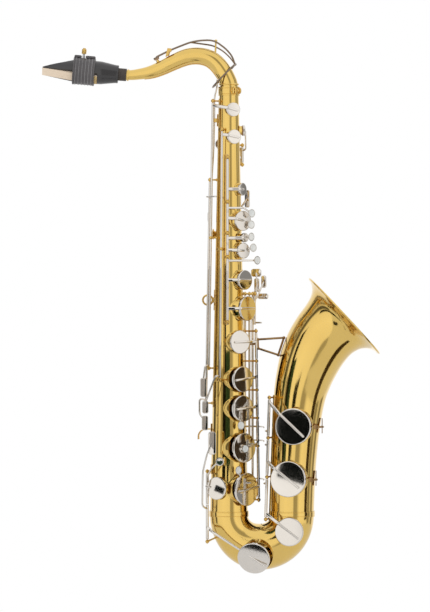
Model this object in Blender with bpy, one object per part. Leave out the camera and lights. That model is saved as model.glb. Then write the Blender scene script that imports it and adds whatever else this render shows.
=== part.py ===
"""Tenor saxophone, in metres, +Z up along the body tube and +X towards the bell.

The origin is the centre of the strap ring, behind the body tube. Tube angles are counted round the body
from -Y (the player's right) towards +X (the bell). The keys are laid out closed, on their tone holes, and the
keys that stand open are then turned back about their hinges.
"""

import math
from collections import namedtuple

import bmesh
import bpy
from mathutils import Matrix, Vector

# Body tube: a straight cone
BODY_X = 0.0310
BODY_TOP_Z = 0.3050
BODY_BOTTOM_Z = -0.3090
BODY_TOP_RADIUS = 0.0140
BODY_BOTTOM_RADIUS = 0.0275
BODY_WALL = 0.0006

# Bow: a half circle that swells towards the bell
BOW_CENTRE_Z = -0.3133
BOW_BEND_RADIUS = 0.0460
BOW_START_RADIUS = 0.0277
BOW_BOTTOM_RADIUS = 0.0336
BOW_END_RADIUS = 0.0318
BOW_WALL = 0.0008

# Bell: each section's place beside the body axis, height, radius and tilt towards the bell's mouth
BELL_X = 2 * BOW_BEND_RADIUS
BELL_WALL = 0.0008
BELL_BEAD_RADIUS = 0.0014
Section = namedtuple("Section", "x z radius tilt")
BELL_SECTIONS = (
    Section(BELL_X, BODY_BOTTOM_Z, BOW_END_RADIUS, 0.0),
    Section(BELL_X + 0.0010, -0.2600, 0.0327, 1.0),
    Section(BELL_X + 0.0032, -0.2180, 0.0336, 3.0),
    Section(BELL_X + 0.0062, -0.1780, 0.0353, 6.0),
    Section(BELL_X + 0.0107, -0.1410, 0.0379, 10.0),
    Section(BELL_X + 0.0165, -0.1150, 0.0408, 17.0),
    Section(BELL_X + 0.0235, -0.0930, 0.0437, 25.0),
    Section(BELL_X + 0.0340, -0.0705, 0.0460, 31.0),
    Section(BELL_X + 0.0465, -0.0520, 0.0477, 35.5),
    Section(BELL_X + 0.0580, -0.0403, 0.0502, 40.0),
    Section(BELL_X + 0.0655, -0.0335, 0.0540, 43.5),
    Section(BELL_X + 0.0702, -0.0290, 0.0590, 45.5),
    Section(BELL_X + 0.0735, -0.0258, 0.0660, 46.5),
    Section(BELL_X + 0.0758, -0.0235, 0.0756, 47.0),
)

# Neck: each section's place beside the body axis, height and radius, from the cork end to the tenon
NECK_WALL = 0.0008
NECK_SECTIONS = (
    (-0.1486, 0.3278, 0.0072),
    (-0.1300, 0.3292, 0.0080),
    (-0.1144, 0.3322, 0.0091),
    (-0.0991, 0.3380, 0.0101),
    (-0.0838, 0.3453, 0.0108),
    (-0.0690, 0.3520, 0.0115),
    (-0.0561, 0.3556, 0.0118),
    (-0.0423, 0.3559, 0.0119),
    (-0.0299, 0.3529, 0.0121),
    (-0.0210, 0.3475, 0.0123),
    (-0.0135, 0.3400, 0.0124),
    (-0.0073, 0.3310, 0.0125),
    (-0.0026, 0.3215, 0.0127),
    (0.0, 0.3130, 0.0130),
)
TENON_RADIUS = 0.0130
TENON_BOTTOM_Z = 0.2850

# Tone holes
CHIMNEY_HEIGHT = 0.0030
CHIMNEY_WALL = 0.0008
PAD_OVERHANG = 0.0020
PAD_THICKNESS = 0.0030
CUP_THICKNESS = 0.0016
SEAT_GAP = 0.0004

# Keywork
TUBE_RADIUS = 0.0021
TUBE_BORE_RADIUS = 0.00145
ROD_RADIUS = 0.0011
LONG_ROD_RADIUS = 0.0017
POST_RADIUS = 0.0016
POST_BALL_RADIUS = 0.0028
POST_CLEARANCE = 0.0004
ARM_WIDTH = 0.0034
ARM_THICKNESS = 0.0018
PEARL_RADIUS = 0.0062
PEARL_THICKNESS = 0.0026
RIB_WIDTH = 0.0060
RIB_THICKNESS = 0.0012
RIB_GAP = 0.0003

# Detail of the round shapes
TUBE_SIDES = 24
CUP_SIDES = 16
CHIMNEY_SIDES = 12
SMALL_SIDES = 8
POST_SIDES = 6

for leftover in list(bpy.data.objects):
    bpy.data.objects.remove(leftover, do_unlink=True)

scene = bpy.context.scene
workshop = bpy.data.collections.new("workshop")
scene.collection.children.link(workshop)


def metal(name, colour, roughness, metallic=1.0):
    """One Principled material in a named finish."""
    material = bpy.data.materials.new(name)
    material.use_nodes = True
    shader = material.node_tree.nodes["Principled BSDF"]
    shader.inputs["Base Color"].default_value = (*colour, 1.0)
    shader.inputs["Roughness"].default_value = roughness
    shader.inputs["Metallic"].default_value = metallic
    return material


def lacquered_brass(name):
    return metal(name, (0.72, 0.47, 0.16), 0.18)


def nickel(name):
    return metal(name, (0.72, 0.68, 0.63), 0.16)


def raw_brass(name):
    return metal(name, (0.66, 0.45, 0.18), 0.30)


def steel(name):
    return metal(name, (0.45, 0.45, 0.46), 0.35)


def cork(name):
    return metal(name, (0.55, 0.36, 0.20), 0.85, 0.0)


def ebonite(name):
    return metal(name, (0.02, 0.02, 0.02), 0.25, 0.0)


def cane(name):
    return metal(name, (0.80, 0.66, 0.42), 0.55, 0.0)


def leather(name):
    return metal(name, (0.05, 0.045, 0.045), 0.60, 0.0)


def shape(bm):
    """A closed helper mesh in the workshop, kept out of the finished part."""
    bmesh.ops.recalc_face_normals(bm, faces=bm.faces)
    mesh = bpy.data.meshes.new("shape")
    bm.to_mesh(mesh)
    bm.free()
    helper = bpy.data.objects.new("shape", mesh)
    helper.hide_render = True
    helper.display_type = "WIRE"
    workshop.objects.link(helper)
    return helper


def loft(rings):
    """A closed solid through rings of points, all with the same count."""
    bm = bmesh.new()
    loops = [[bm.verts.new(point) for point in ring] for ring in rings]
    for lower, upper in zip(loops, loops[1:]):
        for i in range(len(lower)):
            j = (i + 1) % len(lower)
            bm.faces.new((lower[i], lower[j], upper[j], upper[i]))
    bm.faces.new(loops[0])
    bm.faces.new(loops[-1])
    return shape(bm)


def frame_along(direction):
    """Two unit vectors square to a direction, the first one as near to +Y as it can be."""
    direction = Vector(direction).normalized()
    guide = Vector((0, 1, 0)) if abs(direction.y) < 0.9 else Vector((0, 0, 1))
    first = (guide - direction * guide.dot(direction)).normalized()
    return first, direction.cross(first)


def ring(centre, direction, radius, sides):
    """A ring of points square to a direction."""
    first, second = frame_along(direction)
    angles = [2 * math.pi * (i + 0.5) / sides for i in range(sides)]
    return [Vector(centre) + radius * (math.cos(a) * first + math.sin(a) * second) for a in angles]


def turned_solid(base, direction, profile, sides):
    """A lathe solid: profile gives (distance along the axis, radius), both ends closed."""
    axis = Vector(direction).normalized()
    return loft([ring(Vector(base) + axis * along, axis, radius, sides) for along, radius in profile])


def cylinder(start, end, radius, sides=SMALL_SIDES):
    start, end = Vector(start), Vector(end)
    return turned_solid(start, end - start, ((0.0, radius), ((end - start).length, radius)), sides)


def ball(centre, direction, radius):
    """A low ball whose flattened poles lie along a direction."""
    rows = [math.radians(a) for a in (-72, -30, 30, 72)]
    profile = [(radius * math.sin(a), radius * math.cos(a)) for a in rows]
    return turned_solid(centre, direction, profile, POST_SIDES + 2)


def bar(start, end, across, width, thickness):
    """A straight flat bar from start to end, its width lying along across."""
    start, end = Vector(start), Vector(end)
    run = (end - start).normalized()
    side = Vector(across)
    side = (side - run * side.dot(run)).normalized() * width / 2
    lift = run.cross(side).normalized() * thickness / 2
    corners = (side + lift, side - lift, -side - lift, -side + lift)
    return loft([[start + c for c in corners], [end + c for c in corners]])


def wire(points, radius, sides=POST_SIDES):
    """A round rod through points, with its corners mitred."""
    points = [Vector(p) for p in points]
    angles = [2 * math.pi * (i + 0.5) / sides for i in range(sides)]
    first, rings = None, []
    for i, point in enumerate(points):
        before = points[max(i - 1, 0)]
        run = (points[min(i + 1, len(points) - 1)] - before).normalized()
        first = first or frame_along(run)[0]
        first = (first - run * first.dot(run)).normalized()
        second = run.cross(first)
        rings.append([point + radius * (math.cos(a) * first + math.sin(a) * second) for a in angles])
    return loft(rings)


def finished(name, shapes, material, pivot=(0, 0, 0), cuts=(), parent=None):
    """Solders the shapes into one named object, cuts it, and puts its origin on the pivot."""
    base, rest = shapes[0], list(shapes[1:])
    for operation, helpers in (("UNION", rest), ("DIFFERENCE", list(cuts))):
        if not helpers:
            continue
        group = bpy.data.collections.new(name + operation)
        workshop.children.link(group)
        for helper in helpers:
            group.objects.link(helper)
        step = base.modifiers.new(operation.lower(), "BOOLEAN")
        step.operation = operation
        step.operand_type = "COLLECTION"
        step.collection = group
        step.solver = "EXACT"
    bpy.context.view_layer.update()
    graph = bpy.context.evaluated_depsgraph_get()
    mesh = bpy.data.meshes.new_from_object(base.evaluated_get(graph))
    mesh.name = name
    for helper in [base, *rest, *cuts]:
        bpy.data.objects.remove(helper, do_unlink=True)
    for group in list(workshop.children):
        bpy.data.collections.remove(group)
    pivot = Vector(pivot)
    mesh.transform(Matrix.Translation(-pivot))
    mesh.shade_smooth()
    mesh.set_sharp_from_angle(angle=math.radians(30))
    mesh.materials.clear()
    mesh.materials.append(material(name))
    result = bpy.data.objects.new(name, mesh)
    scene.collection.objects.link(result)
    result.location = pivot
    if parent:
        result.parent = parent
        result.location = pivot - parent.location
    return result


def turn(shapes, hinge, degrees):
    """Turns helper shapes about a hinge line."""
    about = Matrix.Translation(hinge.foot)
    spin = Matrix.Rotation(math.radians(degrees), 4, hinge.direction)
    for helper in shapes:
        helper.data.transform(about @ spin @ about.inverted())
    return shapes


def body_radius(z):
    share = (BODY_TOP_Z - z) / (BODY_TOP_Z - BODY_BOTTOM_Z)
    return BODY_TOP_RADIUS + share * (BODY_BOTTOM_RADIUS - BODY_TOP_RADIUS)


def outwards(angle):
    """The direction away from the body axis at an angle round the body."""
    turned = math.radians(angle)
    return Vector((math.sin(turned), -math.cos(turned), 0.0))


def round_body(angle, reach, z):
    """A point at a distance from the body axis."""
    return Vector((BODY_X, 0.0, z)) + outwards(angle) * reach


def beside_body(x, y, z):
    """A point given by its distances from the body axis."""
    return Vector((BODY_X + x, y, z))


# Tone holes: where the hole's line starts on its tube's centre, which way it opens, its radius, its rim
# and the radius of the cup that covers it
ToneHole = namedtuple("ToneHole", "foot normal radius rise cup")


def body_hole(angle, z, radius, cup_radius=None):
    """A hole in the body tube. Its cup overhangs it by the usual amount unless it is wider."""
    foot = Vector((BODY_X, 0.0, z))
    rise = body_radius(z) + CHIMNEY_HEIGHT
    return ToneHole(foot, outwards(angle), radius, rise, cup_radius or radius + PAD_OVERHANG)


def side_hole(x, z, tilt_x, tilt_z, radius, rise):
    """A hole in the right side of the bow or bell, its line tilted a little in X and Z."""
    normal = Vector((tilt_x, -1.0, tilt_z)).normalized()
    return ToneHole(beside_body(x, 0.0, z), normal, radius, rise, radius + PAD_OVERHANG)


HIGH_E_HOLE = body_hole(17, 0.2765, 0.0082)
SIDE_C_HOLE = body_hole(20, 0.2370, 0.0084)
SIDE_B_FLAT_HOLE = body_hole(56, 0.1610, 0.0075)
PALM_F_HOLE = body_hole(98, 0.2470, 0.0060)
PALM_E_FLAT_HOLE = body_hole(214, 0.2280, 0.0066)
PALM_D_HOLE = body_hole(188, 0.1605, 0.0075)
B_HOLE = body_hole(50, 0.1150, 0.0128)
BIS_HOLE = body_hole(58, 0.0905, 0.0050)
A_HOLE = body_hole(50, 0.0715, 0.0095)
G_HOLE = body_hole(54, 0.0290, 0.0124)
LOW_G_HOLE = body_hole(62, -0.0124, 0.0162)
G_SHARP_HOLE = body_hole(34, -0.0610, 0.0150)
F_SHARP_HOLE = body_hole(32, -0.1150, 0.0168)
F_HOLE = body_hole(31, -0.1574, 0.0172)
E_HOLE = body_hole(33, -0.2142, 0.0195)
D_HOLE = body_hole(39, -0.2745, 0.0180, 0.0242)
LOW_E_FLAT_HOLE = body_hole(-33, -0.2730, 0.0122, 0.0165)
BODY_HOLES = (
    HIGH_E_HOLE, SIDE_C_HOLE, SIDE_B_FLAT_HOLE, PALM_F_HOLE, PALM_E_FLAT_HOLE, PALM_D_HOLE, B_HOLE, BIS_HOLE,
    A_HOLE, G_HOLE, LOW_G_HOLE, G_SHARP_HOLE, F_SHARP_HOLE, F_HOLE, E_HOLE, D_HOLE, LOW_E_FLAT_HOLE,
)
LOW_C_HOLE = side_hole(BOW_BEND_RADIUS - 0.0030, -0.3590, -0.05, -0.36, 0.0218, 0.0370)
LOW_C_SHARP_HOLE = side_hole(BELL_X - 0.0050, -0.3355, 0.0, 0.0, 0.0186, 0.0365)
BOW_HOLES = (LOW_C_HOLE, LOW_C_SHARP_HOLE)
LOW_B_HOLE = side_hole(BELL_X - 0.0020, -0.2590, -0.06, 0.0, 0.0240, 0.0362)
LOW_B_FLAT_HOLE = side_hole(BELL_X + 0.0050, -0.1829, -0.04, 0.0, 0.0245, 0.0386)
BELL_HOLES = (LOW_B_HOLE, LOW_B_FLAT_HOLE)


def chimney(hole):
    """The drawn wall round a tone hole, as a solid."""
    rim = hole.foot + hole.normal * hole.rise
    return cylinder(hole.foot, rim, hole.radius + CHIMNEY_WALL, CHIMNEY_SIDES)


def drill(hole):
    """What a tone hole takes out of its tube."""
    beyond = hole.foot + hole.normal * (hole.rise + CHIMNEY_HEIGHT)
    return cylinder(hole.foot, beyond, hole.radius, CHIMNEY_SIDES)


def body_tube():
    """The straight body tube with its drawn tone holes."""
    axis = Vector((0, 0, 1))
    bottom = Vector((BODY_X, 0, BODY_BOTTOM_Z))
    length = BODY_TOP_Z - BODY_BOTTOM_Z
    outside = ((0.0, BODY_BOTTOM_RADIUS), (length, BODY_TOP_RADIUS))
    slope = (BODY_BOTTOM_RADIUS - BODY_TOP_RADIUS) / length
    spare = 0.002
    inside = (
        (-spare, BODY_BOTTOM_RADIUS + slope * spare - BODY_WALL),
        (length + spare, BODY_TOP_RADIUS - slope * spare - BODY_WALL),
    )
    tube = turned_solid(bottom, axis, outside, TUBE_SIDES)
    bore = turned_solid(bottom, axis, inside, TUBE_SIDES)
    chimneys = [chimney(hole) for hole in BODY_HOLES]
    drills = [drill(hole) for hole in BODY_HOLES]
    return finished("body_tube", [tube, *chimneys], lacquered_brass, cuts=[bore, *drills])


def bent_tube(stations, inset, spare=0.0, sides=TUBE_SIDES):
    """A solid through (centre, direction, radius) stations, its skin moved inwards by inset."""
    rings = []
    for i, (centre, direction, radius) in enumerate(stations):
        before = stations[max(i - 1, 0)]
        after = stations[min(i + 1, len(stations) - 1)]
        slope = math.atan2(after[2] - before[2], (after[0] - before[0]).length)
        forward = inset * math.sin(slope)
        if i == 0:
            forward -= spare
        if i == len(stations) - 1:
            forward += spare
        shifted = centre + direction * forward
        rings.append(ring(shifted, direction, radius - inset * math.cos(slope), sides))
    return loft(rings)


def bow_stations():
    """Stations from the body's end of the bow round to the bell's end."""
    stations = []
    bend_centre = Vector((BODY_X + BOW_BEND_RADIUS, 0, BOW_CENTRE_Z))
    for degrees in (0, 6, 15, 30, 45, 60, 75, 90, 105, 120, 135, 150, 165, 174, 180):
        turned = math.radians(degrees)
        away = Vector((-math.cos(turned), 0, -math.sin(turned)))
        direction = Vector((math.sin(turned), 0, -math.cos(turned)))
        end_radius = BOW_START_RADIUS if degrees <= 90 else BOW_END_RADIUS
        swell = math.sin(turned) ** 2 * (BOW_BOTTOM_RADIUS - end_radius)
        stations.append((bend_centre + away * BOW_BEND_RADIUS, direction, end_radius + swell))
    return stations


def bow():
    """The U bend that joins the body to the bell."""
    stations = bow_stations()
    skin = bent_tube(stations, 0.0)
    hollow = bent_tube(stations, BOW_WALL, 0.002)
    chimneys = [chimney(hole) for hole in BOW_HOLES]
    drills = [drill(hole) for hole in BOW_HOLES]
    return finished("bow", [skin, *chimneys, bow_post()], lacquered_brass, cuts=[hollow, *drills])


def bell_direction(section):
    tilt = math.radians(section.tilt)
    return Vector((math.sin(tilt), 0, math.cos(tilt)))


def bell():
    """The flared bell with its rolled rim."""
    stations = [(beside_body(s.x, 0, s.z), bell_direction(s), s.radius) for s in BELL_SECTIONS]
    skin = bent_tube(stations, 0.0)
    hollow = bent_tube(stations, BELL_WALL, 0.002)
    rim = BELL_SECTIONS[-1]
    along = bell_direction(rim)
    centre = beside_body(rim.x, 0, rim.z)
    bead_rows = [2 * math.pi * i / SMALL_SIDES for i in range(SMALL_SIDES)]
    bm = bmesh.new()
    loops = []
    for a in bead_rows:
        radius = rim.radius - BELL_BEAD_RADIUS / 2 + BELL_BEAD_RADIUS * math.cos(a)
        place = centre + along * BELL_BEAD_RADIUS * math.sin(a)
        loops.append([bm.verts.new(p) for p in ring(place, along, radius, TUBE_SIDES)])
    for i, loop in enumerate(loops):
        following = loops[(i + 1) % len(loops)]
        for j in range(TUBE_SIDES):
            k = (j + 1) % TUBE_SIDES
            bm.faces.new((loop[j], loop[k], following[k], following[j]))
    bead = shape(bm)
    chimneys = [chimney(hole) for hole in BELL_HOLES]
    drills = [drill(hole) for hole in BELL_HOLES]
    return finished("bell", [skin, *chimneys, bead], lacquered_brass, cuts=[hollow, *drills])


# Rings that cover the two joints of the bow
JOINT_RING_HEIGHT = 0.0080
JOINT_RING_WALL = 0.0009
JOINT_RING_GAP = 0.0005


def joint_ring(name, x, radius):
    """A ferrule over the joint between the bow and its neighbour."""
    middle = beside_body(x, 0, (BODY_BOTTOM_Z + BOW_CENTRE_Z) / 2)
    low = middle - Vector((0, 0, JOINT_RING_HEIGHT / 2))
    high = middle + Vector((0, 0, JOINT_RING_HEIGHT / 2))
    band = cylinder(low, high, radius + JOINT_RING_GAP + JOINT_RING_WALL, TUBE_SIDES)
    spare = Vector((0, 0, 0.001))
    hole = cylinder(low - spare, high + spare, radius + JOINT_RING_GAP, TUBE_SIDES)
    return finished(name, [band], lacquered_brass, cuts=[hole])



class Hinge:
    """A hinge line that follows the taper of its tube, from its foot up to its head."""

    def __init__(self, foot, head):
        self.foot = Vector(foot)
        self.direction = (Vector(head) - self.foot).normalized()

    def at(self, z):
        return self.foot + self.direction * ((z - self.foot.z) / self.direction.z)


def post(foot, tip):
    """A turned post: a stem that thins towards a ball round the hinge line at its tip."""
    foot, tip = Vector(foot), Vector(tip)
    length = (tip - foot).length
    rows = (
        (0.0, POST_RADIUS),
        (length - POST_BALL_RADIUS, POST_RADIUS * 0.9),
        (length - POST_BALL_RADIUS * 0.45, POST_BALL_RADIUS),
        (length + POST_BALL_RADIUS * 0.45, POST_BALL_RADIUS),
        (length + POST_BALL_RADIUS, POST_BALL_RADIUS * 0.35),
    )
    return turned_solid(foot, tip - foot, rows, POST_SIDES)


def strip(angle, z_low, z_high, width=RIB_WIDTH):
    """A flat rib along the body tube, just clear of it."""
    ends = []
    across = outwards(angle + 90) * width / 2
    for z in (z_low, z_high):
        inner = round_body(angle, body_radius(z) + RIB_GAP, z)
        outer = inner + outwards(angle) * RIB_THICKNESS
        ends.append([inner - across, inner + across, outer + across, outer - across])
    return loft(ends)


def strap(z, from_angle, to_angle, width=0.0050):
    """A curved strap round the body tube, between a rib and a post that stands beside it."""
    steps = max(1, round(abs(to_angle - from_angle) / 15))
    inner = body_radius(z - width / 2) / math.cos(math.radians(8)) + RIB_GAP
    rings = []
    for i in range(steps + 1):
        angle = from_angle + (to_angle - from_angle) * i / steps
        corners = []
        for reach, height in ((0, -1), (RIB_THICKNESS, -1), (RIB_THICKNESS, 1), (0, 1)):
            corners.append(round_body(angle, inner + reach, z + height * width / 2))
        rings.append(corners)
    return loft(rings)


def rib_with_posts(name, angle, z_low, z_high, posts, width=RIB_WIDTH, cuts=(), extras=()):
    """A rib with its posts. Each post is its tip: (angle, point on the hinge line)."""
    shapes = [strip(angle, z_low, z_high, width)]
    for foot_angle, tip in posts:
        if abs(foot_angle - angle) > 5:
            beyond = math.copysign(5, foot_angle - angle)
            shapes.append(strap(tip.z, angle, foot_angle + beyond))
        lift = RIB_GAP + RIB_THICKNESS * 0.9
        foot = round_body(foot_angle, body_radius(tip.z) + lift, tip.z)
        shapes.append(post(foot, tip))
    shapes.extend(extras)
    return finished(name, shapes, raw_brass, cuts=list(cuts))


def hinge_tube(hinge, z_low, z_high, radius=TUBE_RADIUS):
    return cylinder(hinge.at(z_low), hinge.at(z_high), radius)


def hinge_bore(hinge, z_low, z_high):
    """What the steel rod's bore takes out of a hinge tube."""
    return cylinder(hinge.at(z_low - 0.002), hinge.at(z_high + 0.002), TUBE_BORE_RADIUS)


def cup(hole):
    """A key cup with its pad, closed on its tone hole."""
    seat = hole.foot + hole.normal * (hole.rise + SEAT_GAP)
    rows = ((0.0, hole.cup - 0.0008), (PAD_THICKNESS, hole.cup), (PAD_THICKNESS + CUP_THICKNESS, hole.cup))
    return turned_solid(seat, hole.normal, rows, CUP_SIDES)


def cup_back(hole, lift=0.0):
    """The middle of a closed cup's back, raised by lift."""
    return hole.foot + hole.normal * (hole.rise + SEAT_GAP + PAD_THICKNESS + CUP_THICKNESS + lift)


def cup_arm(root, hole, reach):
    """An arm from a hinge line over the edge of a cup and across its back, reach beyond its middle."""
    middle = cup_back(hole, ARM_THICKNESS / 2 - 0.0004)
    across = middle - root
    across = (across - hole.normal * across.dot(hole.normal)).normalized()
    side = hole.normal.cross(across)
    edge = middle - across * (hole.cup + 0.0004)
    flat = bar(edge - across * 0.0006, middle + across * reach, side, ARM_WIDTH, ARM_THICKNESS)
    riser = bar(root, edge + across * 0.0006, side, ARM_WIDTH, ARM_THICKNESS)
    return [flat, riser]


def pearl(place, normal):
    """A finger touch: a round holder with its pearl."""
    thickness = PEARL_THICKNESS
    rows = ((0.0, PEARL_RADIUS * 0.8), (thickness * 0.6, PEARL_RADIUS), (thickness, PEARL_RADIUS * 0.9))
    return turned_solid(place, normal, rows, SMALL_SIDES + 2)


# Stack hinge lines: the upper one on the player's right, the lower one beside the bell
UPPER_HINGE = Hinge(beside_body(-0.0022, -0.0290, -0.0350), beside_body(-0.0022, -0.0228, 0.2100))
LOWER_HINGE = Hinge(beside_body(0.0434, 0.0035, -0.2940), beside_body(0.0392, 0.0020, -0.0430))
UPPER_POST_HEIGHTS = (-0.0322, 0.0625, 0.0970, 0.1425, 0.2075)
LOWER_POST_HEIGHTS = (-0.2910, -0.2127, -0.1719, -0.1311, -0.0889, -0.0452)
POST_ROOM = POST_BALL_RADIUS + POST_CLEARANCE
FRONT_F_BOTTOM = 0.1290


def stack_rib(name, hinge, heights, angle):
    """A stack's rib, its posts bored for the stack's steel rod."""
    posts = [(angle, hinge.at(z)) for z in heights]
    z_low, z_high = heights[0], heights[-1]
    bore = cylinder(hinge.at(z_low - 0.006), hinge.at(z_high + 0.006), TUBE_BORE_RADIUS)
    return rib_with_posts(name, angle, z_low - 0.004, z_high + 0.004, posts, cuts=[bore])


def stack_rod(name, hinge, heights):
    """The steel rod that a stack's keys turn on."""
    rod = cylinder(hinge.at(heights[0] - 0.0035), hinge.at(heights[-1] + 0.0035), ROD_RADIUS)
    return finished(name, [rod], steel)


def stalk(root, place, normal):
    """The arm under a finger pearl."""
    across = normal.cross(place - root)
    if across.length < PEARL_THICKNESS:
        across = Vector((0, 0, 1))
    return bar(root, place + normal * 0.0008, across, ARM_WIDTH, ARM_THICKNESS)


def stack_key(name, hinge, z_low, z_high, hole, arm_z, open_angle, pearl_at=None, reach=0.0, stalk_z=None):
    """A key of either stack, turned open from its closed place.

    Its finger pearl stands on the cup, on a stalk from the cup's edge, or on its own arm from stalk_z.
    """
    shapes = [hinge_tube(hinge, z_low, z_high), cup(hole), *cup_arm(hinge.at(arm_z), hole, reach)]
    if pearl_at:
        place = Vector(pearl_at)
        middle = cup_back(hole, -0.0006)
        across = place - middle
        across -= hole.normal * across.dot(hole.normal)
        root = middle + across.normalized() * min(across.length, hole.cup - 0.0030)
        if stalk_z is not None:
            root = hinge.at(stalk_z)
        shapes.append(stalk(root, place, hole.normal))
        shapes.append(pearl(place, hole.normal))
    cuts = [hinge_bore(hinge, z_low, z_high)]
    turn(shapes + cuts, hinge, open_angle)
    return finished(name, shapes, nickel, pivot=hinge.at(z_low), cuts=cuts)


def front_f_key(z_low, z_high):
    """The front F key above the B key: a short tube, an arm and a pearl. It opens the palm F key's cup."""
    place = beside_body(0.0300, -0.0120, 0.1257)
    root, knee = UPPER_HINGE.at(0.1335), beside_body(0.0215, -0.0235, 0.1335)
    shapes = [
        hinge_tube(UPPER_HINGE, z_low, z_high),
        bar(root, knee, (0, 0, 1), ARM_WIDTH, ARM_THICKNESS),
        stalk(knee, place, B_HOLE.normal),
        pearl(place, B_HOLE.normal),
    ]
    cuts = [hinge_bore(UPPER_HINGE, z_low, z_high)]
    turn(shapes + cuts, UPPER_HINGE, -10)
    finished("front_f_key", shapes, nickel, pivot=UPPER_HINGE.at(z_low), cuts=cuts)


def upper_stack():
    """The left hand's main keys. They stand open and close towards the body."""
    stack_rib("upper_stack_rib", UPPER_HINGE, UPPER_POST_HEIGHTS, -16)
    stack_rod("upper_stack_rod", UPPER_HINGE, UPPER_POST_HEIGHTS)
    low_post, g_post, b_post, side_post, top_post = UPPER_POST_HEIGHTS
    joint = g_post - 0.0450
    stack_key(
        "low_g_key", UPPER_HINGE, low_post + POST_ROOM, joint - 0.0005, LOW_G_HOLE, -0.0124, -12, reach=0.014,
    )
    stack_key(
        "g_key", UPPER_HINGE, joint, g_post - POST_ROOM, G_HOLE, 0.0290, -9, reach=0.010,
        pearl_at=beside_body(0.0370, -0.0060, 0.0576), stalk_z=0.0570,
    )
    split = 0.0815
    stack_key(
        "a_key", UPPER_HINGE, g_post + POST_ROOM, split - 0.0005, A_HOLE, 0.0725, -10,
        pearl_at=beside_body(0.0315, -0.0085, 0.0758),
    )
    stack_key(
        "bis_key", UPPER_HINGE, split, b_post - POST_ROOM, BIS_HOLE, 0.0895, -10,
        pearl_at=beside_body(0.0290, -0.0110, 0.0915),
    )
    stack_key(
        "b_key", UPPER_HINGE, b_post + POST_ROOM, FRONT_F_BOTTOM - 0.0005, B_HOLE, 0.1190, -10,
        pearl_at=beside_body(0.0290, -0.0105, 0.1092),
    )
    front_f_key(FRONT_F_BOTTOM, side_post - POST_ROOM)
    stack_key(
        "side_b_flat_key", UPPER_HINGE, side_post + POST_ROOM, top_post - POST_ROOM,
        SIDE_B_FLAT_HOLE, 0.1610, 0,
    )


def lower_stack():
    """The right hand's main keys and the G sharp key above them."""
    stack_rib("lower_stack_rib", LOWER_HINGE, LOWER_POST_HEIGHTS, 113)
    stack_rod("lower_stack_rod", LOWER_HINGE, LOWER_POST_HEIGHTS)
    d_post, e_post, f_post, f_sharp_post, g_sharp_post, top_post = LOWER_POST_HEIGHTS
    stack_key(
        "g_sharp_key", LOWER_HINGE, g_sharp_post + POST_ROOM, top_post - POST_ROOM, G_SHARP_HOLE, -0.0600, 0,
        reach=0.011,
    )
    stack_key(
        "f_sharp_key", LOWER_HINGE, f_sharp_post + POST_ROOM, g_sharp_post - POST_ROOM,
        F_SHARP_HOLE, -0.1110, 8, reach=0.015,
    )
    stack_key(
        "f_key", LOWER_HINGE, f_post + POST_ROOM, f_sharp_post - POST_ROOM, F_HOLE, -0.1540, 8, reach=0.013,
        pearl_at=round_body(19, 0.0340, -0.1815),
    )
    stack_key(
        "e_key", LOWER_HINGE, e_post + POST_ROOM, f_post - POST_ROOM, E_HOLE, -0.2062, 8, reach=0.010,
        pearl_at=round_body(31, 0.0346, -0.2155),
    )
    stack_key(
        "d_key", LOWER_HINGE, d_post + POST_ROOM, e_post - POST_ROOM, D_HOLE, -0.2700, 8, reach=0.018,
        pearl_at=round_body(9, 0.0395, -0.2462),
    )



# Right hand side keys: three long rods on the player's right, and the flat touches at their feet
SIDE_E_HINGE = Hinge(beside_body(-0.0294, -0.0120, -0.0990), beside_body(-0.0236, -0.0105, 0.2900))
SIDE_C_HINGE = Hinge(beside_body(-0.0131, -0.0285, -0.1160), beside_body(-0.0102, -0.0215, 0.2480))
SIDE_B_FLAT_HINGE = Hinge(beside_body(-0.0335, -0.0050, -0.1500), beside_body(-0.0277, -0.0030, 0.1750))
SIDE_RIB_ANGLE = -66
TOUCH_THICKNESS = 0.0022


def plate(middle, normal, along, length, width, thickness=TOUCH_THICKNESS):
    """A flat touch plate, its length lying along a direction."""
    half = Vector(along).normalized() * length / 2
    side = Vector(normal).cross(half)
    return bar(Vector(middle) - half, Vector(middle) + half, side, width, thickness)


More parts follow.
